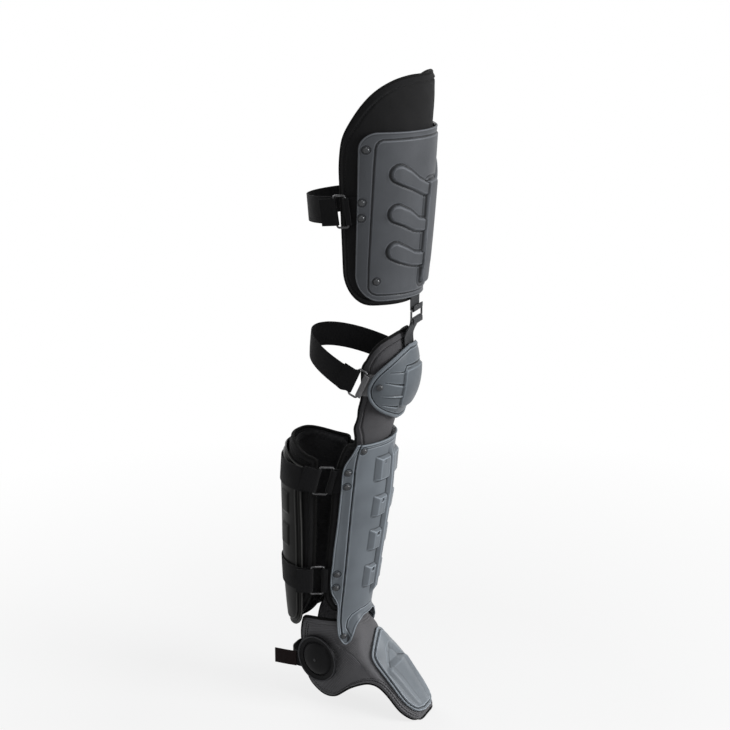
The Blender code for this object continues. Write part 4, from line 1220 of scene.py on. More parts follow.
def band_on(shape: LegShape, places: Sequence[tuple[float, float]], width: float, out: float) -> list[Row]:
    """The rows of a band that lies square to its own way along (angle, height) places on a shape."""
    rows = []
    for k, (angle, height) in enumerate(places):
        first, last = places[max(k - 1, 0)], places[min(k + 1, len(places) - 1)]
        scale = shape.arc(angle, height)
        run, rise = abs(last[0] - first[0]) * scale, last[1] - first[1]
        rise = -rise if last[0] < first[0] else rise
        reach = width / 2 / math.hypot(run, rise)
        turn, climb = -rise * reach / scale, run * reach
        rows.append(tuple(shape.point(angle + turn * j, height + climb * j, out) for j in (-1, 0, 1)))
    return rows


def level(at: Vector, width: float) -> Row:
    """The points across a band that hangs down the front of the leg."""
    side = Vector((0.0, width / 2, 0.0))
    return across(at - side, at + side)


def fold_on_side(bar: Vector, width: float, start: float, turn: float) -> list[Row]:
    """The rows of a fold round a bar that lies along Y, seen from the side, in degrees."""
    rows = []
    for k in range(FOLD_STEPS + 1):
        angle = math.radians(start + turn * k / FOLD_STEPS)
        rows.append(level(bar + Vector((math.cos(angle), 0.0, math.sin(angle))) * FOLD, width))
    return rows


class Loop:
    """A wire loop on the outer side: a tab is folded round its front bar and a strap round its rear bar."""

    def __init__(self, shape: LegShape, height: float, front_x: float, rear_x: float, lean: float,
                 width: float, face: float, flare: float = 0.0) -> None:
        """Places the two bars on the face of the shape.

        Args:
            shape: The surface under the loop.
            height: The height of its middle.
            front_x: The front bar's x.
            rear_x: The rear bar's x.
            lean: Its rise to the rear, in degrees.
            width: The webbing's width.
            face: How far the face under it lies from the shape.
            flare: How far the rear bar stands out beyond the front bar.
        """
        self.shape, self.height, self.width, self.face = shape, height, width, face
        self.front_angle = shape.side_angle(front_x, height)
        self.rear_angle = shape.side_angle(rear_x, height)
        self.rise = math.tan(math.radians(lean)) * shape.arc(self.front_angle, height)
        out = face + TAB_ROOM / 2 + WEB_THICK / 2 + GAP + WIRE_RADIUS
        places = [(angle, self.height_at(angle)) for angle in (self.front_angle, self.rear_angle)]
        front, rear = band_on(shape, places, width, out)
        self.front = front[1]
        self.up = (front[2] - front[0] + rear[2] - rear[0]).normalized()
        self.rear = rear[1] + self.up.cross(rear[1] - front[1]).normalized() * flare
        along = self.rear - self.front
        self.along = (along - self.up * along.dot(self.up)).normalized()
        self.out = self.up.cross(self.along)

    def height_at(self, angle: float) -> float:
        """The height of the strap's middle at this angle, on its way through the loop."""
        return self.height + (self.front_angle - angle) * self.rise

    def row(self, middle: Vector) -> Row:
        """The points across a band at the loop."""
        half = self.up * (self.width / 2)
        return across(middle - half, middle + half)

    def fold(self, bar: Vector, first: Vector, second: Vector) -> list[Row]:
        """The rows of a half turn round a bar, from the first direction through the second."""
        rows = []
        for k in range(FOLD_STEPS + 1):
            angle = math.pi * k / FOLD_STEPS
            rows.append(self.row(bar + (first * math.cos(angle) + second * math.sin(angle)) * FOLD))
        return rows

    def tab(self, start: float) -> list[Row]:
        """The rows of a tab, from its start under a plate round the front bar and back."""
        reach = self.front_angle + TAB_CLEAR - start
        angles = [start + reach * k / LINE_STEPS for k in range(LINE_STEPS)]
        rows = band_on(self.shape, [(angle, self.height_at(angle)) for angle in angles], self.width,
                       self.face + TAB_ROOM / 2)
        rows += self.fold(self.front, -self.out, self.along)
        return rows + [self.row(self.front + self.out * FOLD - self.along * TAB_RETURN)]

    def strap(self) -> list[Row]:
        """The start of a strap: its loose end on the outside, and the fold round the rear bar."""
        end = self.rear + self.out * FOLD + self.along * STRAP_RETURN
        return [self.row(end)] + self.fold(self.rear, self.out, -self.along)

    def round_leg(self, end_angle: float, end_height: float) -> list[tuple[float, float]]:
        """Places from behind the loop round the back of the leg to its end on the inner side."""
        start = self.rear_angle - STRAP_STEP
        count = round((start - end_angle) / STRAP_STEP)
        rise = self.rise * (self.rear_angle - end_angle) / math.pi
        places = []
        for k in range(count + 1):
            angle = start + (end_angle - start) * k / count
            share = (self.rear_angle - angle) / (self.rear_angle - end_angle)
            level_height = self.height + (end_height - self.height) * share
            places.append((angle, level_height + rise * math.sin(math.pi * share)))
        return places

    def wire(self, name: str) -> Piece:
        """The loop's own wire."""
        half = self.width / 2 + LOOP_CORNER + GAP
        return wire_ring(name, self.front, self.rear, half, self.up)


def wire_ring(name: str, front: Vector, rear: Vector, half_height: float, up: Vector) -> Piece:
    """Bends a closed rectangle of wire with rounded corners.

    Args:
        name: The piece's name.
        front: The middle of its front bar.
        rear: The middle of its rear bar.
        half_height: Half its size along the bars.
        up: The bars' direction.

    Returns:
        The piece.
    """
    along = (rear - front).normalized()
    reach, rise = (rear - front).length - LOOP_CORNER, half_height - LOOP_CORNER
    corners = ((reach, rise, 0), (LOOP_CORNER, rise, 90), (LOOP_CORNER, -rise, 180), (reach, -rise, 270))
    points = []
    for x, y, start in corners:
        for k in range(7):
            turn = math.radians(start + 15 * k)
            corner = front + along * (x + LOOP_CORNER * math.cos(turn))
            points.append(corner + up * (y + LOOP_CORNER * math.sin(turn)))
    return bent_wire(name, np.array(points), WIRE_RADIUS, sides=4)


def webbing(name: str, rows: list[Row], body: Body, node: str, finish: Finish = Finish.WEBBING) -> None:
    """Builds and dresses a webbing band with soft edges and evenly spaced cells.

    Args:
        name: The piece's name.
        rows: Rows of three points across it, in order.
        body: The body it rides on.
        node: The CAD node that it stands for.
        finish: Its finish.
    """
    low, middle, high = (np.array([row[k] for row in rows], float) for k in range(3))
    run = run_along(middle)
    curves = [[Curve(list(zip(run, line[:, k]))) for k in range(3)] for line in (low, middle, high)]
    width = float(np.linalg.norm(high[0] - low[0]))

    def place(s: Array, t: Array) -> Array:
        """The band's middle layer."""
        lines = [np.stack([curve.at(t * run[-1]) for curve in line], -1) for line in curves]
        weights = (s * (s - 1.0) / 2.0, 1.0 - s * s, s * (s + 1.0) / 2.0)
        return sum(weight[:, None] * line for weight, line in zip(weights, lines))

    obj = wrapped(name, WEB_CELLS_ACROSS, max(int(run[-1] / WEB_CELL), 8), place,
                  lambda s, t: np.stack([t * run[-1], s * width / 2], -1), 0.0)
    apply_modifier(obj, "SOLIDIFY", thickness=WEB_THICK * MM, offset=0.0, use_rim=True)
    apply_modifier(obj, "BEVEL", width=WEB_BEVEL * MM, segments=2, limit_method="ANGLE",
                   angle_limit=math.radians(60))
    finish_piece(obj, body, finish, node)


# ---------------------------------------------------------------- thigh guard


THIGH_ARC_RADIUS = 84.0
THIGH_PAD_EDGE = Curve([(121, 95), (300, 95), (328, 93.5), (354, 89.5), (376, 81.5), (400, 70.5), (415, 61),
                        (426, 50), (433, 38), (436, 27)])


def rounded_half(height: Array, ends: tuple[float, float], corners: tuple[float, float],
                 halves: tuple[float, float]) -> Array:
    """Works out how far an outline with rounded corners reaches to each side.

    Args:
        height: The heights.
        ends: The outline's low and high ends.
        corners: The radii of its low and high corners.
        halves: The half angles at its low and high ends without the corners.

    Returns:
        The half angle at each height.
    """
    height = np.asarray(height, float)
    low, high = ends
    half = halves[0] + (halves[1] - halves[0]) * (height - low) / (high - low)
    loss = np.zeros(height.shape)
    for corner, depth in ((corners[0], height - low), (corners[1], high - height)):
        cut = corner - np.sqrt(np.maximum(corner**2 - np.maximum(corner - depth, 0.0) ** 2, 0.0))
        loss = np.maximum(loss, np.where(depth < corner, cut, 0.0))
    return half - np.degrees(loss / THIGH_ARC_RADIUS)


def rivet_dents(near: Array, y: Array, places: Places, degree: float) -> Array:
    """The depth of the rings pressed round rivets at these (angle, height) places."""
    depth = np.zeros(near.shape)
    for angle, height in places:
        depth = np.maximum(depth, 0.8 * trough(5.4, 1.8, np.hypot(near - angle * degree, y - height)))
    return depth


@dataclass
class ThighGuard:
    """Plate with three finger ribs and a front ridge, on a padded backing with one strap."""

    ends: tuple[float, float] = (127.0, 364.0)
    corners: tuple[float, float] = (40.0, 24.0)
    halves: tuple[float, float] = (81.0, 75.0)
    pad_ends: tuple[float, float] = (121.0, 436.0)
    pad_corners: tuple[float, float] = (46.0, 80.0)
    pad_halves: tuple[float, float] = (95.0, 95.0)
    pad_thick: float = 14.0
    degree: float = 1.53
    panel_rise: float = 1.6
    rib_rise: tuple[float, float] = (3.4, 5.4)
    ridge_rise: float = 6.4
    strap_height: float = 254.0
    loop_x: tuple[float, float] = (-38.0, -56.0)
    loop_lean: float = -6.0
    tab_angle: float = 64.0
    link_heights: tuple[float, ...] = (150.0, 138.0, 123.0)
    rivet_places: Places = ((-69, 340), (-73, 267.5), (-73.5, 246), (-59.2, 156.8))
    ribs: tuple[tuple[tuple[float, float, float], ...], ...] = (
        ((-41, 306.5, 13), (-34, 300.5, 12.5), (-23, 290.5, 9.8), (-12, 282.5, 9.6), (-4, 280, 11)),
        ((-41.7, 251.5, 13), (-33, 245.5, 12.5), (-21, 234.5, 10.5), (-11, 231, 10), (-4, 230, 10)),
        ((-42.2, 199, 13), (-34.7, 193.5, 12.8), (-23, 186, 11), (-13, 183, 10.8), (-4, 182, 11)),
    )

    def spread(self, s: Array, t: Array) -> tuple[Array, Array]:
        """The angles and heights of the plate."""
        height = self.ends[0] + (self.ends[1] - self.ends[0]) * t
        return s * rounded_half(height, self.ends, self.corners, self.halves), height

    def pad_spread(self, s: Array, t: Array) -> tuple[Array, Array]:
        """The angles and heights of the backing."""
        height = self.pad_ends[0] + (self.pad_ends[1] - self.pad_ends[0]) * t
        half = rounded_half(height, self.pad_ends, self.pad_corners, self.pad_halves)
        return s * np.minimum(half, THIGH_PAD_EDGE.at(height)), height

    def relief(self, wrap: Wrap) -> Relief:
        """Shapes the plate's raised panel, finger ribs and ridge.

        Args:
            wrap: The plate's region.

        Returns:
            The rise at places of the flat map.
        """
        panel = wrap.area((-67, 150), (-64.5, 247), (-61.5, 340), (-59.5, 350), (-54, 353.5), (54, 353.5),
                          (59.5, 350), (61.5, 340), (64.5, 247), (67, 150), (65, 141), (57, 136.5),
                          (-57, 136.5), (-65, 141), rounding=1)
        ridge = wrap.area((-9.5, 152), (-9.5, 289), (-8, 294), (8, 294), (9.5, 289), (9.5, 152), (6, 144),
                          (-6, 144))
        edge = wrap.outline()

        def rise(x: Array, y: Array) -> Array:
            """The rise at these places."""
            inside = panel.depth(x, y)
            total = self.panel_rise * smooth(0.0, 1.8, inside) - 0.9 * trough(-1.2, 1.7, inside)
            total = total + 0.5 * trough(1.6, 1.6, edge.depth(x, y))
            near = -np.abs(x)
            low, high = self.rib_rise
            rib_top = low + (high - low) * smooth(24.0 * self.degree, 42.0 * self.degree, -near)
            best, crease = np.zeros(x.shape), np.zeros(x.shape)
            for rib in self.ribs:
                line = [(angle * self.degree, height) for angle, height, _ in rib]
                run = np.cumsum([0.0] + [math.dist(one, two) for one, two in zip(line, line[1:])])
                gap, share = line_gap(line, near, y)
                depth = np.interp(share * run[-1], run, [half for _, _, half in rib]) - gap
                best = np.maximum(best, rib_top * smooth(0.0, 3.8, depth))
                crease = np.maximum(crease, trough(-0.8, 1.6, depth))
            beside = ridge.depth(x, y)
            tall = self.ridge_rise * smooth(0.0, 3.2, beside)
            channel = trough(-3.2, 3.4, beside) * (1.0 - smooth(0.0, 2.0, best))
            crease = crease * (1.0 - smooth(0.0, 2.0, tall))
            dents = rivet_dents(near, y, self.rivet_places, self.degree)
            return total - 0.9 * crease - 1.7 * channel + np.maximum(best, tall) - dents

        return rise

    def build(self) -> None:
        """Builds and dresses the guard."""
        wrap = Wrap(THIGH, self.spread, self.degree)
        relief = self.relief(wrap)
        plate = shell("thigh_shell", wrap, relief, 210, 190)
        finish_piece(plate, Body.THIGH, Finish.THIGH_SHELL, "thigh_plate")
        heads = rivets("thigh_rivets", rivet_seats(wrap, relief, self.rivet_places, -math.inf))
        finish_piece(heads, Body.THIGH, Finish.RIVET, *side_names("thigh_rivet", len(self.rivet_places)))
        pad_wrap = Wrap(THIGH, self.pad_spread, self.degree)
        backing = Backing("thigh_backing", pad_wrap, PAD_FACE, self.pad_thick, 150, 160, crown=1.0)
        backing.dress(Body.THIGH, "thigh_pad")
        loop = Loop(THIGH, self.strap_height, *self.loop_x, self.loop_lean, STRAP_WIDTH, PAD_FACE)
        finish_piece(loop.wire("thigh_buckle"), Body.THIGH, Finish.WIRE, "thigh_loop")
        webbing("thigh_tab_web", loop.tab(-self.tab_angle), Body.THIGH, "thigh_tab")
        places = loop.round_leg(self.tab_angle - 360.0, self.strap_height)
        rows = loop.strap() + band_on(THIGH, places, STRAP_WIDTH, WEB_LAY)
        webbing("thigh_strap_web", rows, Body.THIGH, "thigh_strap")
        self.build_link()

    def build_link(self) -> None:
        """Builds the upper link webbing, which comes down from under the plate and round the ring."""
        lay = PAD_FACE + GAP + WEB_THICK / 2
        rows = [level(THIGH.point(0.0, height, lay), LINK_WIDTH) for height in self.link_heights]
        rows += fold_on_side(LINK_BAR_HIGH, LINK_WIDTH, 170.0, 190.0)
        rows.append(level(LINK_BAR_HIGH + Vector((FOLD, 0.0, TAB_RETURN)), LINK_WIDTH))
        webbing("link_web_top", rows, Body.THIGH, "link_web_upper", Finish.LINK_WEBBING)


# ---------------------------------------------------------------- knee guard


CUP_EDGE = Curve([(-57, 16), (-52, 33), (-46, 50), (-37, 69), (-23, 84), (-7, 89), (5, 86), (21, 75),
                  (39, 52), (52, 30), (57, 16)])
COVER_EDGE = Curve([(-94, 64), (-80, 72), (-66, 83), (-45, 91), (-20, 91.5), (0, 93), (20, 94), (40, 87),
                    (54, 74), (66, 50), (73, 22)])


@dataclass
class KneeGuard:
    """Cup with a raised front, cloth cover that runs down under the shin plate, and one slanted strap."""

    low: float = -57.0
    high: float = 57.0
    degree: float = 0.95
    panel_rise: float = 3.0
    pad_low: float = -94.0
    pad_high: float = 73.0
    face: float = 0.6
    cover_degree: float = 0.9
    loop_x: tuple[float, float] = (-27.0, -40.0)
    loop_lean: float = 22.0
    tab_angle: float = 58.0
    tab_clear: float = 4.0
    tab_half: float = 14.0
    tab_widening: float = 3.0
    tab_height: float = 2.0
    link_heights: tuple[float, ...] = (40.0, 52.0, 64.0)
    wedges: tuple[tuple[tuple[float, float], tuple[float, float], float], ...] = (
        ((-63, 7), (-31, 0), -2.6),
        ((-67, -13.5), (-31, -17.5), 1.9),
        ((-64, -27), (-31, -34), -2.6),
    )

    def spread(self, s: Array, t: Array) -> tuple[Array, Array]:
        """The angles and heights of the cup."""
        height = self.low + (self.high - self.low) * t
        return s * CUP_EDGE.at(height), height

    def cover_spread(self, s: Array, t: Array) -> tuple[Array, Array]:
        """The angles and heights of the cloth cover."""
        height = self.pad_low + (self.pad_high - self.pad_low) * t
        return s * COVER_EDGE.at(height), height

    def relief(self, wrap: Wrap) -> Relief:
        """Shapes the cup's bead, raised panel, stepped groove and wedges.

        Args:
            wrap: The cup's region.

        Returns:
            The rise at places of the flat map.
        """
        edge = wrap.outline()
        panel = wrap.area((-21, -39), (-30, -31), (-30.5, 0), (-31, 17), (-27, 25), (27, 25), (31, 17),
                          (30.5, 0), (30, -31), (21, -39), rounding=1)
        step = [(0.0, 27.5), (-26 * self.degree, 27.5), (-31 * self.degree, 19.0), (-54 * self.degree, 20.5)]

        def rise(x: Array, y: Array) -> Array:
            """The rise at these places."""
            depth = edge.depth(x, y)
            total = 1.0 * trough(3.0, 3.0, depth) - 1.3 * trough(6.6, 1.6, depth)
            total = total + self.panel_rise * smooth(-1.0, 3.5, panel.depth(x, y))
            total = total + 2.4 * smooth(-46.0, -57.0, y)
            near = -np.abs(x)
            gap, share = line_gap(step, near, y)
            half = 2.6 - 1.9 * share
            total = total - 2.2 * (1.0 - share * 0.7) * smooth(0.0, 1.0, 1.0 - gap / half)
            for start, stop, height in self.wedges:
                line = [(start[0] * self.degree, start[1]), (stop[0] * self.degree, stop[1])]
                gap, share = line_gap(line, near, y)
                half = 0.5 + 2.3 * share
                total = total + height * np.sqrt(share) * smooth(0.0, 1.0, 1.0 - gap / half)
            dot = np.hypot(near + 31 * self.degree, y + 42)
            return total - 1.0 * trough(0.0, 2.0, dot)

        return rise

    def build(self) -> None:
        """Builds and dresses the guard."""
        wrap = Wrap(CUP, self.spread, self.degree)
        cup = shell("knee_shell", wrap, self.relief(wrap), 200, 150)
        finish_piece(cup, Body.KNEE, Finish.CUP_SHELL, "knee_cup")
        angles = [CUP.side_angle(0.0, 0.0, side) for side in Side]
        heads = rivets("knee_rivets", [(CUP.point(angle, 0.0), CUP.normal(angle, 0.0)) for angle in angles])
        finish_piece(heads, Body.KNEE, Finish.RIVET, "knee_rivet_outer", "knee_rivet_inner")
        self.build_cover()
        loop = Loop(KNEE_PAD, 0.0, *self.loop_x, self.loop_lean, KNEE_STRAP_WIDTH, self.face)
        finish_piece(loop.wire("knee_buckle"), Body.KNEE, Finish.WIRE, "knee_loop")
        webbing("knee_tab_web", self.tab_rows(loop), Body.KNEE, "knee_tab", Finish.GREY_WEBBING)
        places = loop.round_leg(self.tab_angle - 360.0, 0.0)
        rows = loop.strap() + band_on(KNEE_PAD, places, KNEE_STRAP_WIDTH, self.face + TAB_ROOM / 2)
        webbing("knee_strap_web", rows, Body.KNEE, "knee_strap")
        self.build_link()

    def build_link(self) -> None:
        """Builds the lower link webbing, which comes up from the cup, and the ring."""
        lay = self.face + TAB_ROOM / 2
        rows = [level(KNEE_PAD.point(0.0, height, lay), LINK_WIDTH) for height in self.link_heights]
        rows += fold_on_side(LINK_BAR_LOW, LINK_WIDTH, 200.0, -200.0)
        rows.append(level(LINK_BAR_LOW + Vector((FOLD, 0.0, -TAB_RETURN)), LINK_WIDTH))
        webbing("link_web_low", rows, Body.KNEE, "link_web_lower", Finish.LINK_WEBBING)
        half = LINK_WIDTH / 2 + LOOP_CORNER + GAP
        ring = wire_ring("link_ring_wire", LINK_BAR_HIGH, LINK_BAR_LOW, half, Vector((0.0, 1.0, 0.0)))
        finish_piece(ring, Body.LINK, Finish.WIRE, "link_ring")

    def tab_rows(self, loop: Loop) -> list[Row]:
        """The rows of the tab, which leaves the cup level and turns to the loop's slant at its fold."""
        rows = []
        for share in (0.0, 0.25, 0.5, 0.75):
            angle = -self.tab_angle + (loop.front_angle + self.tab_clear + self.tab_angle) * share
            half, height = self.tab_half + self.tab_widening * share, self.tab_height * (1.0 - share)
            rows.append(tuple(KNEE_PAD.point(angle, height + half * j, self.face + TAB_ROOM / 2)
                              for j in (-1, 0, 1)))
        rows += loop.fold(loop.front, -loop.out, loop.along)
        return rows + [loop.row(loop.front + loop.out * FOLD - loop.along * TAB_RETURN)]

    def build_cover(self) -> None:
        """Builds the cloth cover, which lies between the knee and the shin and is put on no body."""
        wrap = Wrap(KNEE_COVER, self.cover_spread, self.cover_degree)
        backing = Backing("knee_backing", wrap, 0.0, PAD_THICK, 120, 120, seam=10.0, wrinkle=0.35,
                          open_low=True, finish=Finish.KNEE_COVER)
        pieces = [backing.build(), *backing.trim()]
        for piece, finish in zip(pieces, (Finish.KNEE_COVER, Finish.BINDING, Finish.THREAD)):
            if not piece.data.materials:
                piece.data.materials.append(material(finish))
            only(piece)
            bpy.ops.object.shade_smooth_by_angle(angle=math.radians(50))
            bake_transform(piece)
            finish.slot
            LOG.info("%s: %d faces between shin and knee", piece.name, len(piece.data.polygons))
        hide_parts("knee_pad")


# ---------------------------------------------------------------- shin guard


SHIN_EDGE = Curve([(-412, 53), (-400, 57), (-375, 57.5), (-348, 58.5), (-330, 67), (-275, 68.5), (-219, 67.5),
                   (-163, 69.5), (-130, 72.5), (-122, 72), (-106, 67), (-89, 64)])
SHIN_PAD_EDGE = Curve([(-362, 62), (-345, 74), (-320, 76), (-220, 75), (-160, 79), (-122, 81), (-85, 80),
                       (-67, 84)])
SHIN_LOWER = Curve([(0, 0), (18, 2), (30, 9), (38, 22), (44, 36), (49, 40), (54, 36), (58, 26)])


@dataclass(frozen=True)
class CalfStrap:
    """Where one calf strap meets the shin guard.

    Attributes:
        label: Its name.
        height: Its height.
        loop_x: The x of its loop's front bar and rear bar.
        hinge_x: The x at which it crosses the calf guard's hinge line.
    """

    label: str
    height: float
    loop_x: tuple[float, float]
    hinge_x: float

    @property
    def hinge_angle(self) -> float:
        """The angle of the hinge line at its height."""
        return SHIN.side_angle(self.hinge_x, self.height, Side.INNER)

    def loop(self) -> Loop:
        """The strap's loop."""
        return Loop(SHIN, self.height, *self.loop_x, 0.0, STRAP_WIDTH, PAD_FACE, CALF_LOOP_FLARE)

    def hinge_row(self, way: float) -> Row:
        """The end of a band at the hinge line: in front of it (1) or behind it (-1)."""
        face = WEB_LAY + WEB_THICK / 2
        upper, lower = (SHIN.point(strap.hinge_angle, strap.height, face) for strap in CALF_STRAPS)
        axis = (upper - lower).normalized()
        angle, height = self.hinge_angle, self.height
        ahead = SHIN.point(angle - 1.0, height, WEB_LAY) - SHIN.point(angle, height, WEB_LAY)
        out = axis.cross(ahead).normalized()
        seat = SHIN.point(angle, height, face) - out * (WEB_THICK / 2)
        middle = seat + out.cross(axis) * (way * HINGE_GAP / 2)
        return across(middle - axis * (STRAP_WIDTH / 2), middle + axis * (STRAP_WIDTH / 2))


CALF_STRAPS = (
    CalfStrap("upper", -148.0, (-73.0, -93.0), -84.0),
    CalfStrap("lower", -309.0, (-89.0, -107.0), -94.0),
)


@dataclass
class ShinGuard:
    """Plate with a flat flange, stepped blocks, a front ridge and two tongues, on a padded backing."""

    top: float = -88.0
    top_drop: float = 1.5
    bottom: float = -372.0
    lower_half: float = 58.0
    pad_ends: tuple[float, float] = (-362.0, -93.0)
    tab_angle: float = 54.0
    degree: float = 1.15
    panel_rise: float = 1.6
    block_rise: tuple[float, float] = (4.6, 7.0)
    ridge_rise: float = 6.4
    blocks: tuple[tuple[float, float, float, float], ...] = (
        (-31, -5, -112, -151), (-27.5, -5, -174, -209), (-26, -5, -229, -264),
        (-26, -5, -287, -324))
    rivet_places: Places = (
        (-51.5, -99), (-65, -133), (-63, -155), (-61.5, -298), (-61.5, -320))
    tongue_rivet: tuple[float, float] = (-50, -398)

    def spread(self, s: Array, t: Array) -> tuple[Array, Array]:
        """The angles and heights of the plate."""
        high = self.top - self.top_drop * smooth(0.3, 1.1, np.abs(s))
        low = self.bottom - SHIN_LOWER.at(np.abs(s) * self.lower_half)
        side_high = self.top - self.top_drop * smooth(0.3, 1.1, 1.0)
        side_low = self.bottom - SHIN_LOWER.at(self.lower_half)
        return s * SHIN_EDGE.at(side_low + (side_high - side_low) * t), low + (high - low) * t

    def pad_spread(self, s: Array, t: Array) -> tuple[Array, Array]:
        """The angles and heights of the backing."""
        height = self.pad_ends[0] + (self.pad_ends[1] - self.pad_ends[0]) * t
        return s * SHIN_PAD_EDGE.at(height), height

    def relief(self, wrap: Wrap) -> Relief:
        """Shapes the plate's panel, groove, blocks, ridge and lower lip.

        Args:
            wrap: The plate's region.

        Returns:
            The rise at places of the flat map.
        """
        edge = wrap.outline()
        panel = wrap.area((-58, -60), (-57, -118), (-54, -159), (-51, -240), (-50.5, -348), (-52, -440),
                          (52, -440), (50.5, -348), (51, -240), (54, -159), (57, -118), (58, -60), rounding=1)
        lip = [(angle * self.degree, height) for angle, height in (
            (-41, -397), (-45, -386), (-42, -374), (-36, -366), (-22, -360), (0, -358))]

        def rise(x: Array, y: Array) -> Array:
            """The rise at these places."""
            inside, depth = panel.depth(x, y), edge.depth(x, y)
            shown = smooth(-402.0, -392.0, y)
            total = shown * (self.panel_rise * smooth(-0.4, 1.2, inside) - 1.7 * trough(-1.2, 1.7, inside))
            flange = smooth(0.0, 13.0, -inside) * smooth(-100.0, -116.0, y) * smooth(-350.0, -335.0, y)
            total = total - 1.8 * flange
            total = total + 0.9 * trough(1.7, 1.7, depth)
            upper = smooth(-112.0, -100.0, y)
            total = total - 0.9 * upper * trough(7.0, 1.4, depth)
            near = -np.abs(x)
            best = np.zeros(x.shape)
            flat, tall = self.block_rise
            block_top = flat + (tall - flat) * ramp(12.0 * self.degree, 28.0 * self.degree, -near)
            for number, (left, right, top, low) in enumerate(self.blocks):
                left, right = left * self.degree, right * self.degree
                body = ramp(0.0, 8.6, near - left) * ramp(0.0, 2.5, right - near) * ramp(0.0, 3.6, y - low)
                body = np.minimum(body, ramp(0.0, 5.0, top - y))
                cut = ramp(0.0, 1.0, near - left - 12.0) * ramp(0.0, 1.0, left + 18.5 - near)
                cut = cut * ramp(0.0, 1.2, y - top + 12.0) * ramp(0.0, 1.2, top - 5.5 - y)
                best = np.maximum(best, block_top * body - (2.2 if number else 0.7) * cut)
            hollow = trough(22.0 * self.degree, 24.0 * self.degree, near)
            total = total - 2.0 * hollow * smooth(-104.0, -130.0, y)
            ridge = ramp(0.0, 5.6, 8.8 + near) * ramp(-342.0, -328.0, y)
            ridge = ridge * ramp(0.0, 16.0, -100.0 - y)
            total = total + np.maximum(best, self.ridge_rise * ridge)
            gap, _ = line_gap(lip, near, y)
            below = (1.0 - smooth(0.0, 12.0, depth)) * (1.0 - smooth(-356.0, -350.0, y))
            below = below * smooth(-46 * self.degree, -41 * self.degree, near)
            below = below * (1.0 - 0.85 * smooth(-30 * self.degree, -14 * self.degree, near))
            total = total + 6.0 * below - 1.3 * trough(0.0, 1.8, gap)
            return total - rivet_dents(near, y, self.rivet_places, self.degree)

        return rise

    def build(self) -> None:
        """Builds and dresses the guard."""
        wrap = Wrap(SHIN, self.spread, self.degree)
        relief = self.relief(wrap)
        finish_piece(shell("shin_shell", wrap, relief, 170, 260), Body.SHIN, Finish.GREY_SHELL, "shin_plate")
        heads = rivets("shin_rivets", rivet_seats(wrap, relief, self.rivet_places, -RIVET_SINK))
        finish_piece(heads, Body.SHIN, Finish.RIVET, *side_names("shin_rivet", len(self.rivet_places)))
        seats = rivet_seats(wrap, relief, (self.tongue_rivet,), -RIVET_SINK)
        finish_piece(rivets("tongue_rivets", seats, TONGUE_RIVET_RADIUS), Body.SHIN, Finish.RIVET,
                     "shin_tongue_rivet_outer", "shin_tongue_rivet_inner")
        pad_wrap = Wrap(SHIN, self.pad_spread, self.degree)
        Backing("shin_backing", pad_wrap, PAD_FACE, PAD_THICK, 110, 150).dress(Body.SHIN, "shin_pad")
        for strap in CALF_STRAPS:
            self.build_tabs(strap)

    def build_tabs(self, strap: CalfStrap) -> None:
        """Builds a calf strap's loop, its outer tab and the tab that holds its inner end."""
        loop, label = strap.loop(), strap.label
        finish_piece(loop.wire(f"shin_buckle_{label}"), Body.SHIN, Finish.WIRE, f"shin_loop_{label}")
        webbing(f"shin_tab_web_{label}", loop.tab(-self.tab_angle), Body.SHIN, f"shin_tab_outer_{label}")
        reach = strap.hinge_angle - HINGE_CLEAR - self.tab_angle
        places = [(self.tab_angle + reach * k / LINE_STEPS, strap.height) for k in range(LINE_STEPS + 1)]
        rows = band_on(SHIN, places, STRAP_WIDTH, WEB_LAY) + [strap.hinge_row(1.0)]
        webbing(f"shin_hinge_web_{label}", rows, Body.SHIN, f"shin_tab_inner_{label}")


# ---------------------------------------------------------------- calf guard


REAR = 180.0
CALF_EDGE = Curve([(-397, 36), (-395.5, 48), (-391, 59), (-384, 67), (-373, 72), (-350, 75), (-294, 77),
                   (-189, 74), (-112, 72)])
CALF_PAD_EDGE = Curve([(-399, 24), (-396, 34), (-390, 44), (-382, 52), (-370, 62), (-350, 77), (-320, 85),
                       (-294, 88), (-217, 88.5), (-112, 85)])


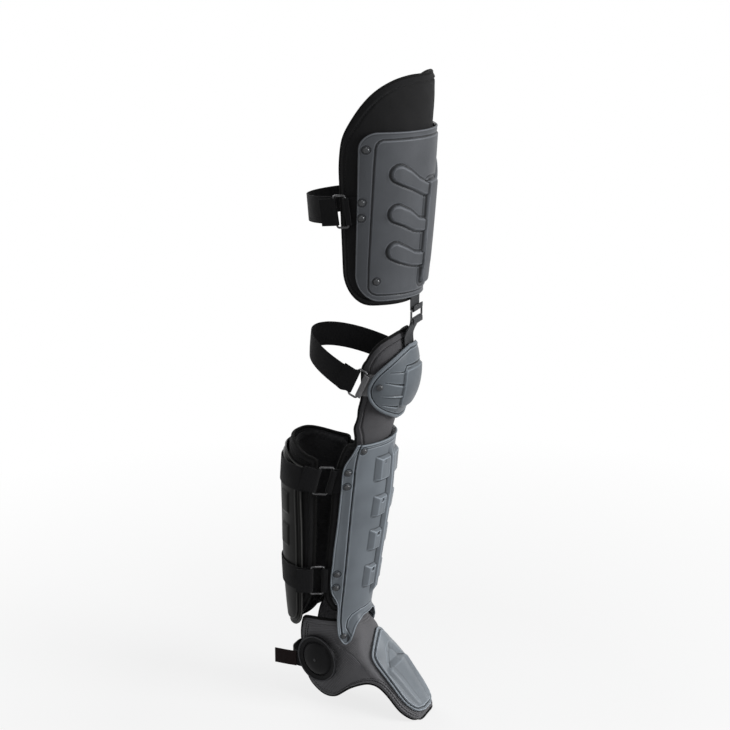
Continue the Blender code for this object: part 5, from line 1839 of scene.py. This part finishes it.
@dataclass
class CalfGuard:
    """Rear plate with raised lugs, on a padded backing, held by two straps."""

    top: float = -112.0
    top_drop: float = 18.0
    bottom: float = -397.0
    margin: float = 11.0
    low_margin: float = 2.0
    degree: float = 1.2
    panel_rise: float = 3.0
    lugs: Places = ((-176, -212), (-228, -264))
    lug_reach: tuple[float, float] = (42, 66)
    lug_rise: float = 2.2
    block: tuple[float, float, float] = (20, -276, -172)
    block_rise: float = 2.0
    strap_angles: tuple[float, ...] = tuple(map(float, range(-104, -259, -7)))

    def height(self, s: Array, t: Array, margin: float = 0.0) -> Array:
        """The heights at these places of the plate, or of a region with a margin round it."""
        high = self.top + margin - self.top_drop * smooth(0.2, 1.0, np.abs(s))
        low = self.bottom - min(margin, self.low_margin)
        return low + (high - low) * t

    def spread(self, s: Array, t: Array) -> tuple[Array, Array]:
        """The angles and heights of the plate."""
        return REAR + s * CALF_EDGE.at(self.height(np.ones_like(s), t)), self.height(s, t)

    def pad_spread(self, s: Array, t: Array) -> tuple[Array, Array]:
        """The angles and heights of the backing."""
        angle = REAR + s * CALF_PAD_EDGE.at(self.height(np.ones_like(s), t, self.margin))
        return angle, self.height(s, t, self.margin)

    def relief(self, wrap: Wrap) -> Relief:
        """Shapes the plate's rim lines, panel, lugs and middle block.

        Args:
            wrap: The plate's region.

        Returns:
            The rise at places of the flat map.
        """
        edge = wrap.outline()

        def rise(x: Array, y: Array) -> Array:
            """The rise at these places."""
            depth = edge.depth(x, y)
            total = 0.8 * trough(1.7, 1.7, depth) - 0.7 * trough(5.2, 1.3, depth)
            total = total + self.panel_rise * smooth(8.5, 11.0, depth)
            near = np.abs(x)
            first, last = self.lug_reach
            for high, low in self.lugs:
                body = ramp(0.0, 3.0, near - first) * ramp(0.0, 3.0, last - near)
                body = body * ramp(0.0, 3.0, y - low) * ramp(0.0, 3.0, high - y)
                total = total + self.lug_rise * body
            half, low, high = self.block
            middle = ramp(0.0, 3.0, half - near) * ramp(0.0, 4.0, y - low) * ramp(0.0, 4.0, high - y)
            return total + self.block_rise * middle

        return rise

    def build(self) -> None:
        """Builds and dresses the guard."""
        wrap = Wrap(CALF, self.spread, self.degree, REAR)
        plate = shell("calf_shell", wrap, self.relief(wrap), 150, 220)
        finish_piece(plate, Body.CALF, Finish.CALF_SHELL, "calf_plate")
        pad_wrap = Wrap(CALF, self.pad_spread, self.degree, REAR)
        backing = Backing("calf_backing", pad_wrap, -PLATE_WALL - 2 * FACET_GAP, PAD_THICK, 130, 150)
        backing.dress(Body.CALF, "calf_pad")
        lay = self.panel_rise + FACET_GAP + WEB_THICK / 2
        for strap in CALF_STRAPS:
            places = [(angle, strap.height) for angle in self.strap_angles]
            rows = strap.loop().strap() + band_on(CALF, places, STRAP_WIDTH, lay) + [strap.hinge_row(-1.0)]
            webbing(f"calf_strap_web_{strap.label}", rows, Body.CALF, f"calf_strap_{strap.label}")


# ---------------------------------------------------------------- foot guard


class FootShape:
    """The foot cover's outer face, with share of the arch across and millimetres down its front."""

    def __init__(self) -> None:
        """Measures the front line."""
        front = np.array([(row[0], row[1]) for row in FOOT_STATIONS])
        self.run = run_along(front)

    def station(self, height: Array) -> Array:
        """The stations at these places down the front, which are negative."""
        return np.interp(-np.asarray(height, float), self.run, np.arange(len(self.run)))

    def down(self, station: Array) -> Array:
        """The places down the front of these stations."""
        return -np.interp(station, np.arange(len(self.run)), self.run)

    def points(self, share: Array, height: Array, out: Array = 0.0) -> Array:
        """Points off the face."""
        share, height = np.broadcast_arrays(np.asarray(share, float), np.asarray(height, float))
        return foot_points(self.station(height), share, np.broadcast_to(out, share.shape))


FOOT = FootShape()
INSTEP_EDGE = Curve([(4.2, 0.03), (5, 0.12), (6, 0.22), (7, 0.32), (8, 0.37), (10.6, 0.40), (11.5, 0.36),
                     (12.1, 0.27), (12.5, 0.12)])


@dataclass
class FootGuard:
    """Cloth cover over the instep and round the ankle, with an instep plate, ankle discs and a heel strap."""

    arch: float = 112.0
    seam: float = 8.0
    disc_centre: tuple[float, float] = (-96.0, -445.0)
    disc_radius: float = 36.5
    ring_profile: Places = (
        (27.5, 0), (27.5, 1.6), (28, 2.1), (33.4, 2.7), (34, 3.9), (34.5, 4.2), (35.6, 4.2), (36.2, 3.8),
        (36.5, 3), (36.5, 0), (27.5, 0))
    dome_profile: Places = (
        (0, 0), (27.2, 0), (27.2, 0.8), (26.2, 1), (25.6, 1.6), (25, 2.9), (23.8, 4.2), (21.6, 5.6),
        (18, 6.9), (13, 7.8), (8, 8.3), (3, 8.4), (2.5, 8.4), (2.1, 8.8), (1.2, 9), (0, 9))
    heel_width: float = 24.0
    heel_height: float = -458.0
    heel_x: tuple[float, ...] = (-118, -124, -130)
    heel_rear: Places = ((-147, -28), (-157, -19), (-162, -6))
    tail_reach: tuple[float, ...] = (-20, -36)
    instep: tuple[float, float] = (4.2, 12.5)
    toe_cut: float = 0.45
    binding: float = 2.5
    second_seam: float = 4.0
    stitch_step: float = 4.4
    crest_line: Places = ((26, -90), (23, -108), (20, -150))
    facet: Places = ((-15, -53), (8, -53), (29, -82), (24, -88), (-15, -92))

    def depths(self, station: Array, share: Array) -> Array:
        """Measures on the cloth how far places lie inside the cover's nearest edge.

        Args:
            station: The places' stations.
            share: Their shares of the arch.

        Returns:
            The distance of each.
        """
        stations, shares = np.linspace(0.0, FOOT_LAST, 105), np.linspace(0.0, 1.0, 101)
        grid = foot_points(*np.meshgrid(stations, shares, indexing="ij"))
        side = np.linalg.norm(np.diff(grid, axis=1), axis=-1)
        side = np.concatenate([np.cumsum(side[:, ::-1], axis=1)[:, ::-1], np.zeros((len(stations), 1))], 1)
        run = np.linalg.norm(np.diff(grid, axis=0), axis=-1)
        top = np.concatenate([np.zeros((1, len(shares))), np.cumsum(run, axis=0)], 0)
        toe = top[-1:] - top
        depth = np.minimum(np.minimum(side, top), toe)
        i = np.clip(station / FOOT_LAST * 104, 0, 103.999)
        j = np.clip(np.abs(share) * 100, 0, 99.999)
        i0, j0 = i.astype(int), j.astype(int)
        a, b = i - i0, j - j0
        return ((1 - a) * (1 - b) * depth[i0, j0] + a * (1 - b) * depth[i0 + 1, j0]
                + (1 - a) * b * depth[i0, j0 + 1] + a * b * depth[i0 + 1, j0 + 1])

    def toe(self, share: Array) -> Array:
        """The last station of the cover, which is cut back to the sides."""
        return FOOT_LAST - self.toe_cut * smooth(0.2, 1.0, np.abs(share))

    def cloth(self, station: Array, share: Array) -> Array:
        """Lays the cover's cloth.

        Args:
            station: The places' stations.
            share: Their shares of the arch.

        Returns:
            How far the cloth lies outside the cover's plain face.
        """
        depth = self.depths(station, share)
        rise = -(1.0 - smooth(0.0, self.seam * 0.7, depth)) * 1.6
        rise = rise - 1.0 * trough(self.seam, 1.8, depth)
        rise = rise - 0.7 * trough(self.seam + self.second_seam, 1.6, depth)
        wave = np.sin(station * 2.1 + 5.0 * share) + np.sin(share * 23.0 + station * 0.9)
        panel = np.abs(np.abs(share) - 0.60 - 0.03 * np.sin(station * 0.8)) * 140.0
        line = trough(0.0, 2.2, panel) * smooth(1.0, 2.0, station) * (1.0 - smooth(7.2, 8.0, station))
        return rise + 0.25 * wave * smooth(2.0, 14.0, depth) - 0.9 * line - 0.2

    def build_cover(self) -> None:
        """Builds the cloth cover with its bound edge and two sewn lines."""

        def place(s: Array, t: Array) -> Array:
            """The outer face."""
            station = self.toe(s) * (1.0 - t)
            return foot_points(station, s, self.cloth(station, s))

        def lengths(s: Array, t: Array) -> Array:
            """The lengths on the cloth."""
            return np.stack([s * self.arch, FOOT.down(FOOT_LAST * (1.0 - t))], -1)

        cover = wrapped("foot_cover", 260, 190, place, lengths, 0.2)
        apply_modifier(cover, "SOLIDIFY", thickness=(FOOT_PAD_THICK - 1.4) * MM, offset=-1.0, use_rim=True)
        finish_piece(cover, Body.FOOT, Finish.FOOT_COVER, "foot_pad", padded=0.35)
        finish_piece(bent_wire("foot_binding", self.rim(), self.binding), Body.FOOT, Finish.BINDING)
        threads = []
        for number, inset in enumerate((self.seam, self.seam + self.second_seam)):
            for side in Side:
                at, normal = self.on(self.side_row(side, inset))
                threads.append(stitches(f"foot_stitches_{number}_{side.label}", at, normal, closed=False))
        finish_piece(joined("foot_stitches", *threads), Body.FOOT, Finish.THREAD)

    def rim(self) -> Array:
        """Points round the middle of the cover's edge, without sharp corners."""
        over, down = np.linspace(-1, 1, 90), np.ones(160)
        low = float(self.toe(1.0))
        shares = np.concatenate([over, down, over[::-1], -down])
        stations = np.concatenate([np.zeros(90), np.linspace(0, low, 160), self.toe(over[::-1]),
                                   np.linspace(low, 0, 160)])
        points = foot_points(stations, shares, np.full(shares.shape, -FOOT_PAD_THICK * 0.48 - 0.2))
        points = points[np.linalg.norm(points - np.roll(points, 1, axis=0), axis=1) > 0.2]
        for _ in range(6):
            points = (np.roll(points, 1, axis=0) + 2.0 * points + np.roll(points, -1, axis=0)) / 4.0
        return points

    def side_row(self, side: Side, inset: float) -> Array:
        """Walks along one side of the cover, at one distance inside its edge.

        Args:
            side: The side.
            inset: The distance.

        Returns:
            Evenly spaced places of (station, share).
        """
        stations, shares = np.linspace(0.4, 12.7, 400), np.linspace(0.05, 1.0, 400)
        inside = self.depths(*np.meshgrid(stations, shares, indexing="ij")) > inset
        last = np.where(inside.any(axis=1), inside.shape[1] - 1 - np.argmax(inside[:, ::-1], axis=1), -1)
        keep = last >= 0
        rows = np.stack([stations[keep], shares[last[keep]] * side], 1)
        run = run_along(foot_points(rows[:, 0], rows[:, 1]))
        even = np.arange(0.0, run[-1], self.stitch_step)
        return np.stack([np.interp(even, run, rows[:, k]) for k in (0, 1)], 1)

    def on(self, rows: Array) -> tuple[Array, Array]:
        """Points just off the cover's sewn channel at (station, share) places, and the directions out."""
        at = foot_points(rows[:, 0], rows[:, 1], np.full(len(rows), -0.7))
        off = foot_points(rows[:, 0], rows[:, 1], np.full(len(rows), 0.3))
        return at, off - at

    def build_instep(self) -> None:
        """Builds the instep plate, with its rim, crest and sunk facet."""
        start, stop = map(FOOT.down, self.instep)

        def spread(s: Array, t: Array) -> tuple[Array, Array]:
            """The shares of the arch and the places down the front."""
            height = stop + (start - stop) * t
            return s * INSTEP_EDGE.at(FOOT.station(height)), height

        wrap = Wrap(FOOT, spread, self.arch)
        edge = wrap.outline()
        sunk = Outline(np.array(self.facet, float), 1)

        def relief(x: Array, y: Array) -> Array:
            """The rise at these places."""
            depth = edge.depth(x, y)
            total = 0.8 * trough(1.6, 1.6, depth) - 0.8 * trough(5.0, 1.2, depth)
            total = total + 2.6 * smooth(5.6, 8.0, depth)
            near = np.abs(x)
            gap, _ = line_gap(self.crest_line, near, y)
            facet = sunk.depth(near, y)
            total = total + 3.2 * smooth(0.0, 1.0, 1.0 - gap / 10.0) - 6.0 * smooth(0.0, 11.0, facet)
            return total + FACET_GAP + SHELL_WALL + 0.4

        plate = shell("instep_shell", wrap, relief, 110, 150)
        finish_piece(plate, Body.FOOT, Finish.INSTEP_SHELL, "instep_plate")

    def disc_seat(self, side: Side) -> tuple[Vector, Vector]:
        """The centre and outward direction of an ankle disc, clear of the cover under it."""
        normal = Vector((-0.25, side, 0.0)).normalized()
        centre = Vector((self.disc_centre[0], 0.0, self.disc_centre[1]))
        stations, shares = np.meshgrid(np.arange(0, 81) / 10, side * np.arange(60, 101, 2) / 100)
        place = foot_points(stations.ravel(), shares.ravel()) - np.array(centre)
        rise = place @ np.array(normal)
        apart = np.linalg.norm(place - rise[:, None] * np.array(normal), axis=1)
        return centre + normal * (float(rise[apart < self.disc_radius + 1.0].max()) + GAP), normal

    def build_discs(self) -> None:
        """Builds the ankle discs: a rimmed ring round a dome with a small centre pip."""
        for side in Side:
            seat, normal = self.disc_seat(side)
            turn = Matrix.Translation(seat * MM) @ normal.to_track_quat("Z", "Y").to_matrix().to_4x4()
            for name, profile, node in (("ankle_rim_", self.ring_profile, "ankle_ring_"),
                                        ("ankle_cap_", self.dome_profile, "ankle_dome_")):
                piece = turned_piece(name + side.label, profile, 96)
                piece.data.transform(turn)
                # Marks the top of the ring and the dome in the crest attribute, so that their material paints
                # a highlight there.
                attribute = piece.data.attributes.new("crest", "FLOAT", "POINT")
                top = max(rise for _, rise in profile)
                local = np.array([(v.co - seat * MM).dot(normal) / MM for v in piece.data.vertices])
                attribute.data.foreach_set("value", np.where(local > top - 0.35, 0.5, 0.0).astype(np.float32))
                finish_piece(piece, Body.FOOT, Finish.DISC, node + side.label, angle=35.0)

    def place_at(self, x: float, height: float, side: Side) -> tuple[float, float]:
        """The station and share of the place on the cover's flank at this x and height."""
        low, high = 0.0, FOOT_LAST
        for _ in range(40):
            station = (low + high) / 2
            front, top, tilt, reach, _, deep = (float(curve.at(station)) for curve in FOOT_CURVES)
            along = (front - x) / math.cos(math.radians(tilt))
            above = top - along * math.sin(math.radians(tilt)) > height
            low, high = (station, high) if above else (low, station)
        return station, side * (FOOT_ARCH_SHARE + (1.0 - FOOT_ARCH_SHARE) * (along - deep) / (reach - deep))

    def build_heel(self) -> None:
        """Builds the heel strap and its loose tail."""
        reach = self.heel_width / 2
        half = Vector((0.0, 0.0, reach))
        rows = []
        for x in self.heel_x:
            places = [self.place_at(x, self.heel_height + rise, Side.OUTER) for rise in (-reach, reach)]
            rows.append(across(*[Vector(foot_points(*place, TAB_ROOM / 2)) for place in places]))
        rear = [Vector((x, y, self.heel_height)) for x, y in self.heel_rear]
        rows += [across(at - half, at + half) for at in rear]
        rows += [tuple(Vector((at.x, -at.y, at.z)) for at in row) for row in reversed(rows)]
        webbing("heel_strap_web", rows, Body.FOOT, "heel_strap")
        start = rear[0] + Vector((-GAP, -WEB_THICK - GAP, 0.0))
        tail = [start] + [start + Vector((x, -1.0, 0.0)) for x in self.tail_reach]
        rows = [across(at - half, at + half) for at in tail]
        webbing("heel_tail_web", rows, Body.FOOT, "heel_tail", Finish.RUST_WEBBING)

    def build(self) -> None:
        """Builds and dresses the guard."""
        self.build_cover()
        self.build_instep()
        self.build_discs()
        self.build_heel()


# ---------------------------------------------------------------- studio


@dataclass
class Studio:
    """Pale floor and backdrop, soft lamps and the camera."""

    azimuth: float = 23.5
    pitch: float = 16.4
    view: float = 24.0
    place: tuple[float, float, float] = (0.903, -2.183, 0.714)
    ambient: float = 0.13

    def seen(self, tree: bpy.types.NodeTree) -> Socket:
        """1 for a ray that shows the background, straight, mirrored or seen through, and 0 for others."""
        path = tree.nodes.new("ShaderNodeLightPath")
        found = path.outputs["Is Camera Ray"]
        for way in ("Is Glossy Ray", "Is Transmission Ray"):
            either = tree.nodes.new("ShaderNodeMath")
            either.operation = "MAXIMUM"
            tree.links.new(found, either.inputs[0])
            tree.links.new(path.outputs[way], either.inputs[1])
            found = either.outputs[0]
        return found

    def lamp(self, name: str, at: tuple[float, float, float], target: tuple[float, float, float], size: float,
             power: float) -> None:
        """Adds a square soft lamp that faces a target."""
        bpy.ops.object.light_add(type="AREA", location=at)
        light = bpy.context.active_object
        light.name = name
        light.data.size = size
        light.data.energy = power
        light.rotation_euler = (Vector(target) - Vector(at)).to_track_quat("-Z", "Y").to_euler()

    def build(self, floor_height: float) -> None:
        """Sets the stage.

        Args:
            floor_height: The height that the guard stands at, in metres.
        """
        bpy.ops.object.select_all(action="DESELECT")
        bpy.ops.mesh.primitive_plane_add(size=90.0, location=(0.0, 0.0, floor_height - 0.001))
        floor = bpy.context.active_object
        floor.name = "floor"
        nodes = Nodes("pale_floor")
        nodes.wire_up(Base_Color=(0.6, 0.6, 0.6, 1.0), Roughness=0.9, Specular_IOR_Level=0.0)
        away = nodes.add("VectorMath", {"operation": "LENGTH"}, i0=nodes.add("TexCoord").outputs["Object"])
        white = nodes.add("Emission", None, Strength=1.0)
        far = nodes.ranged(away.outputs["Value"], 0.8, 1.0, 0.4, 1.3)
        share = nodes.math("MULTIPLY", self.seen(nodes.tree), far)
        both = nodes.add("MixShader", None, i0=share, i1=nodes.shader.outputs[0], i2=white.outputs[0])
        nodes.tree.links.new(both.outputs[0], nodes.tree.nodes["Material Output"].inputs["Surface"])
        floor.data.materials.append(nodes.material)
        floor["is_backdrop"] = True
        world = bpy.data.worlds.new("studio")
        world.use_nodes = True
        bpy.context.scene.world = world
        tree = world.node_tree
        ground = tree.nodes["Background"]
        ground.inputs["Color"].default_value = (0.95, 0.97, 1.0, 1.0)
        ground.inputs["Strength"].default_value = self.ambient
        white = tree.nodes.new("ShaderNodeBackground")
        white.inputs["Color"].default_value = (1.0, 1.0, 1.0, 1.0)
        white.inputs["Strength"].default_value = 1.0
        both = tree.nodes.new("ShaderNodeMixShader")
        tree.links.new(self.seen(tree), both.inputs[0])
        tree.links.new(ground.outputs[0], both.inputs[1])
        tree.links.new(white.outputs[0], both.inputs[2])
        tree.links.new(both.outputs[0], tree.nodes["World Output"].inputs["Surface"])
        self.lamp("key", (2.45, 0.0, 0.9), (0.0, 0.0, -0.05), 1.2, 74.0)
        self.lamp("overhead", (0.5, -0.7, 2.2), (0.0, 0.0, 0.0), 1.2, 15.0)
        self.lamp("fill", (-0.4, -2.6, 0.9), (0.0, 0.0, 0.0), 1.6, 2.0)
        self.lamp("back", (-2.2, 1.5, 1.0), (0.0, 0.0, 0.0), 1.6, 46.0)
        camera = bpy.data.objects.new("camera", bpy.data.cameras.new("camera"))
        bpy.context.scene.collection.objects.link(camera)
        camera.location = self.place
        turn, tip = math.radians(self.azimuth), math.radians(self.pitch)
        way = Vector((-math.sin(turn) * math.cos(tip), math.cos(turn) * math.cos(tip), -math.sin(tip)))
        camera.rotation_euler = way.to_track_quat("-Z", "Y").to_euler()
        camera.data.angle = math.radians(self.view)
        bpy.context.scene.camera = camera
        bpy.context.scene.view_settings.view_transform = "Standard"


def clear_stage() -> None:
    """Removes what Blender starts with."""
    for old in list(bpy.data.objects):
        bpy.data.objects.remove(old, do_unlink=True)


def main() -> None:
    """Builds the looks, one guard after another."""
    logging.basicConfig(level=logging.INFO, format="%(message)s")
    clear_stage()
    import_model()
    cad_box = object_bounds()
    Studio().build(min(float(corner[2]) for corner in cad_box))
    ThighGuard().build()
    KneeGuard().build()
    ShinGuard().build()
    CalfGuard().build()
    FootGuard().build()


if __name__ == "__main__":
    main()
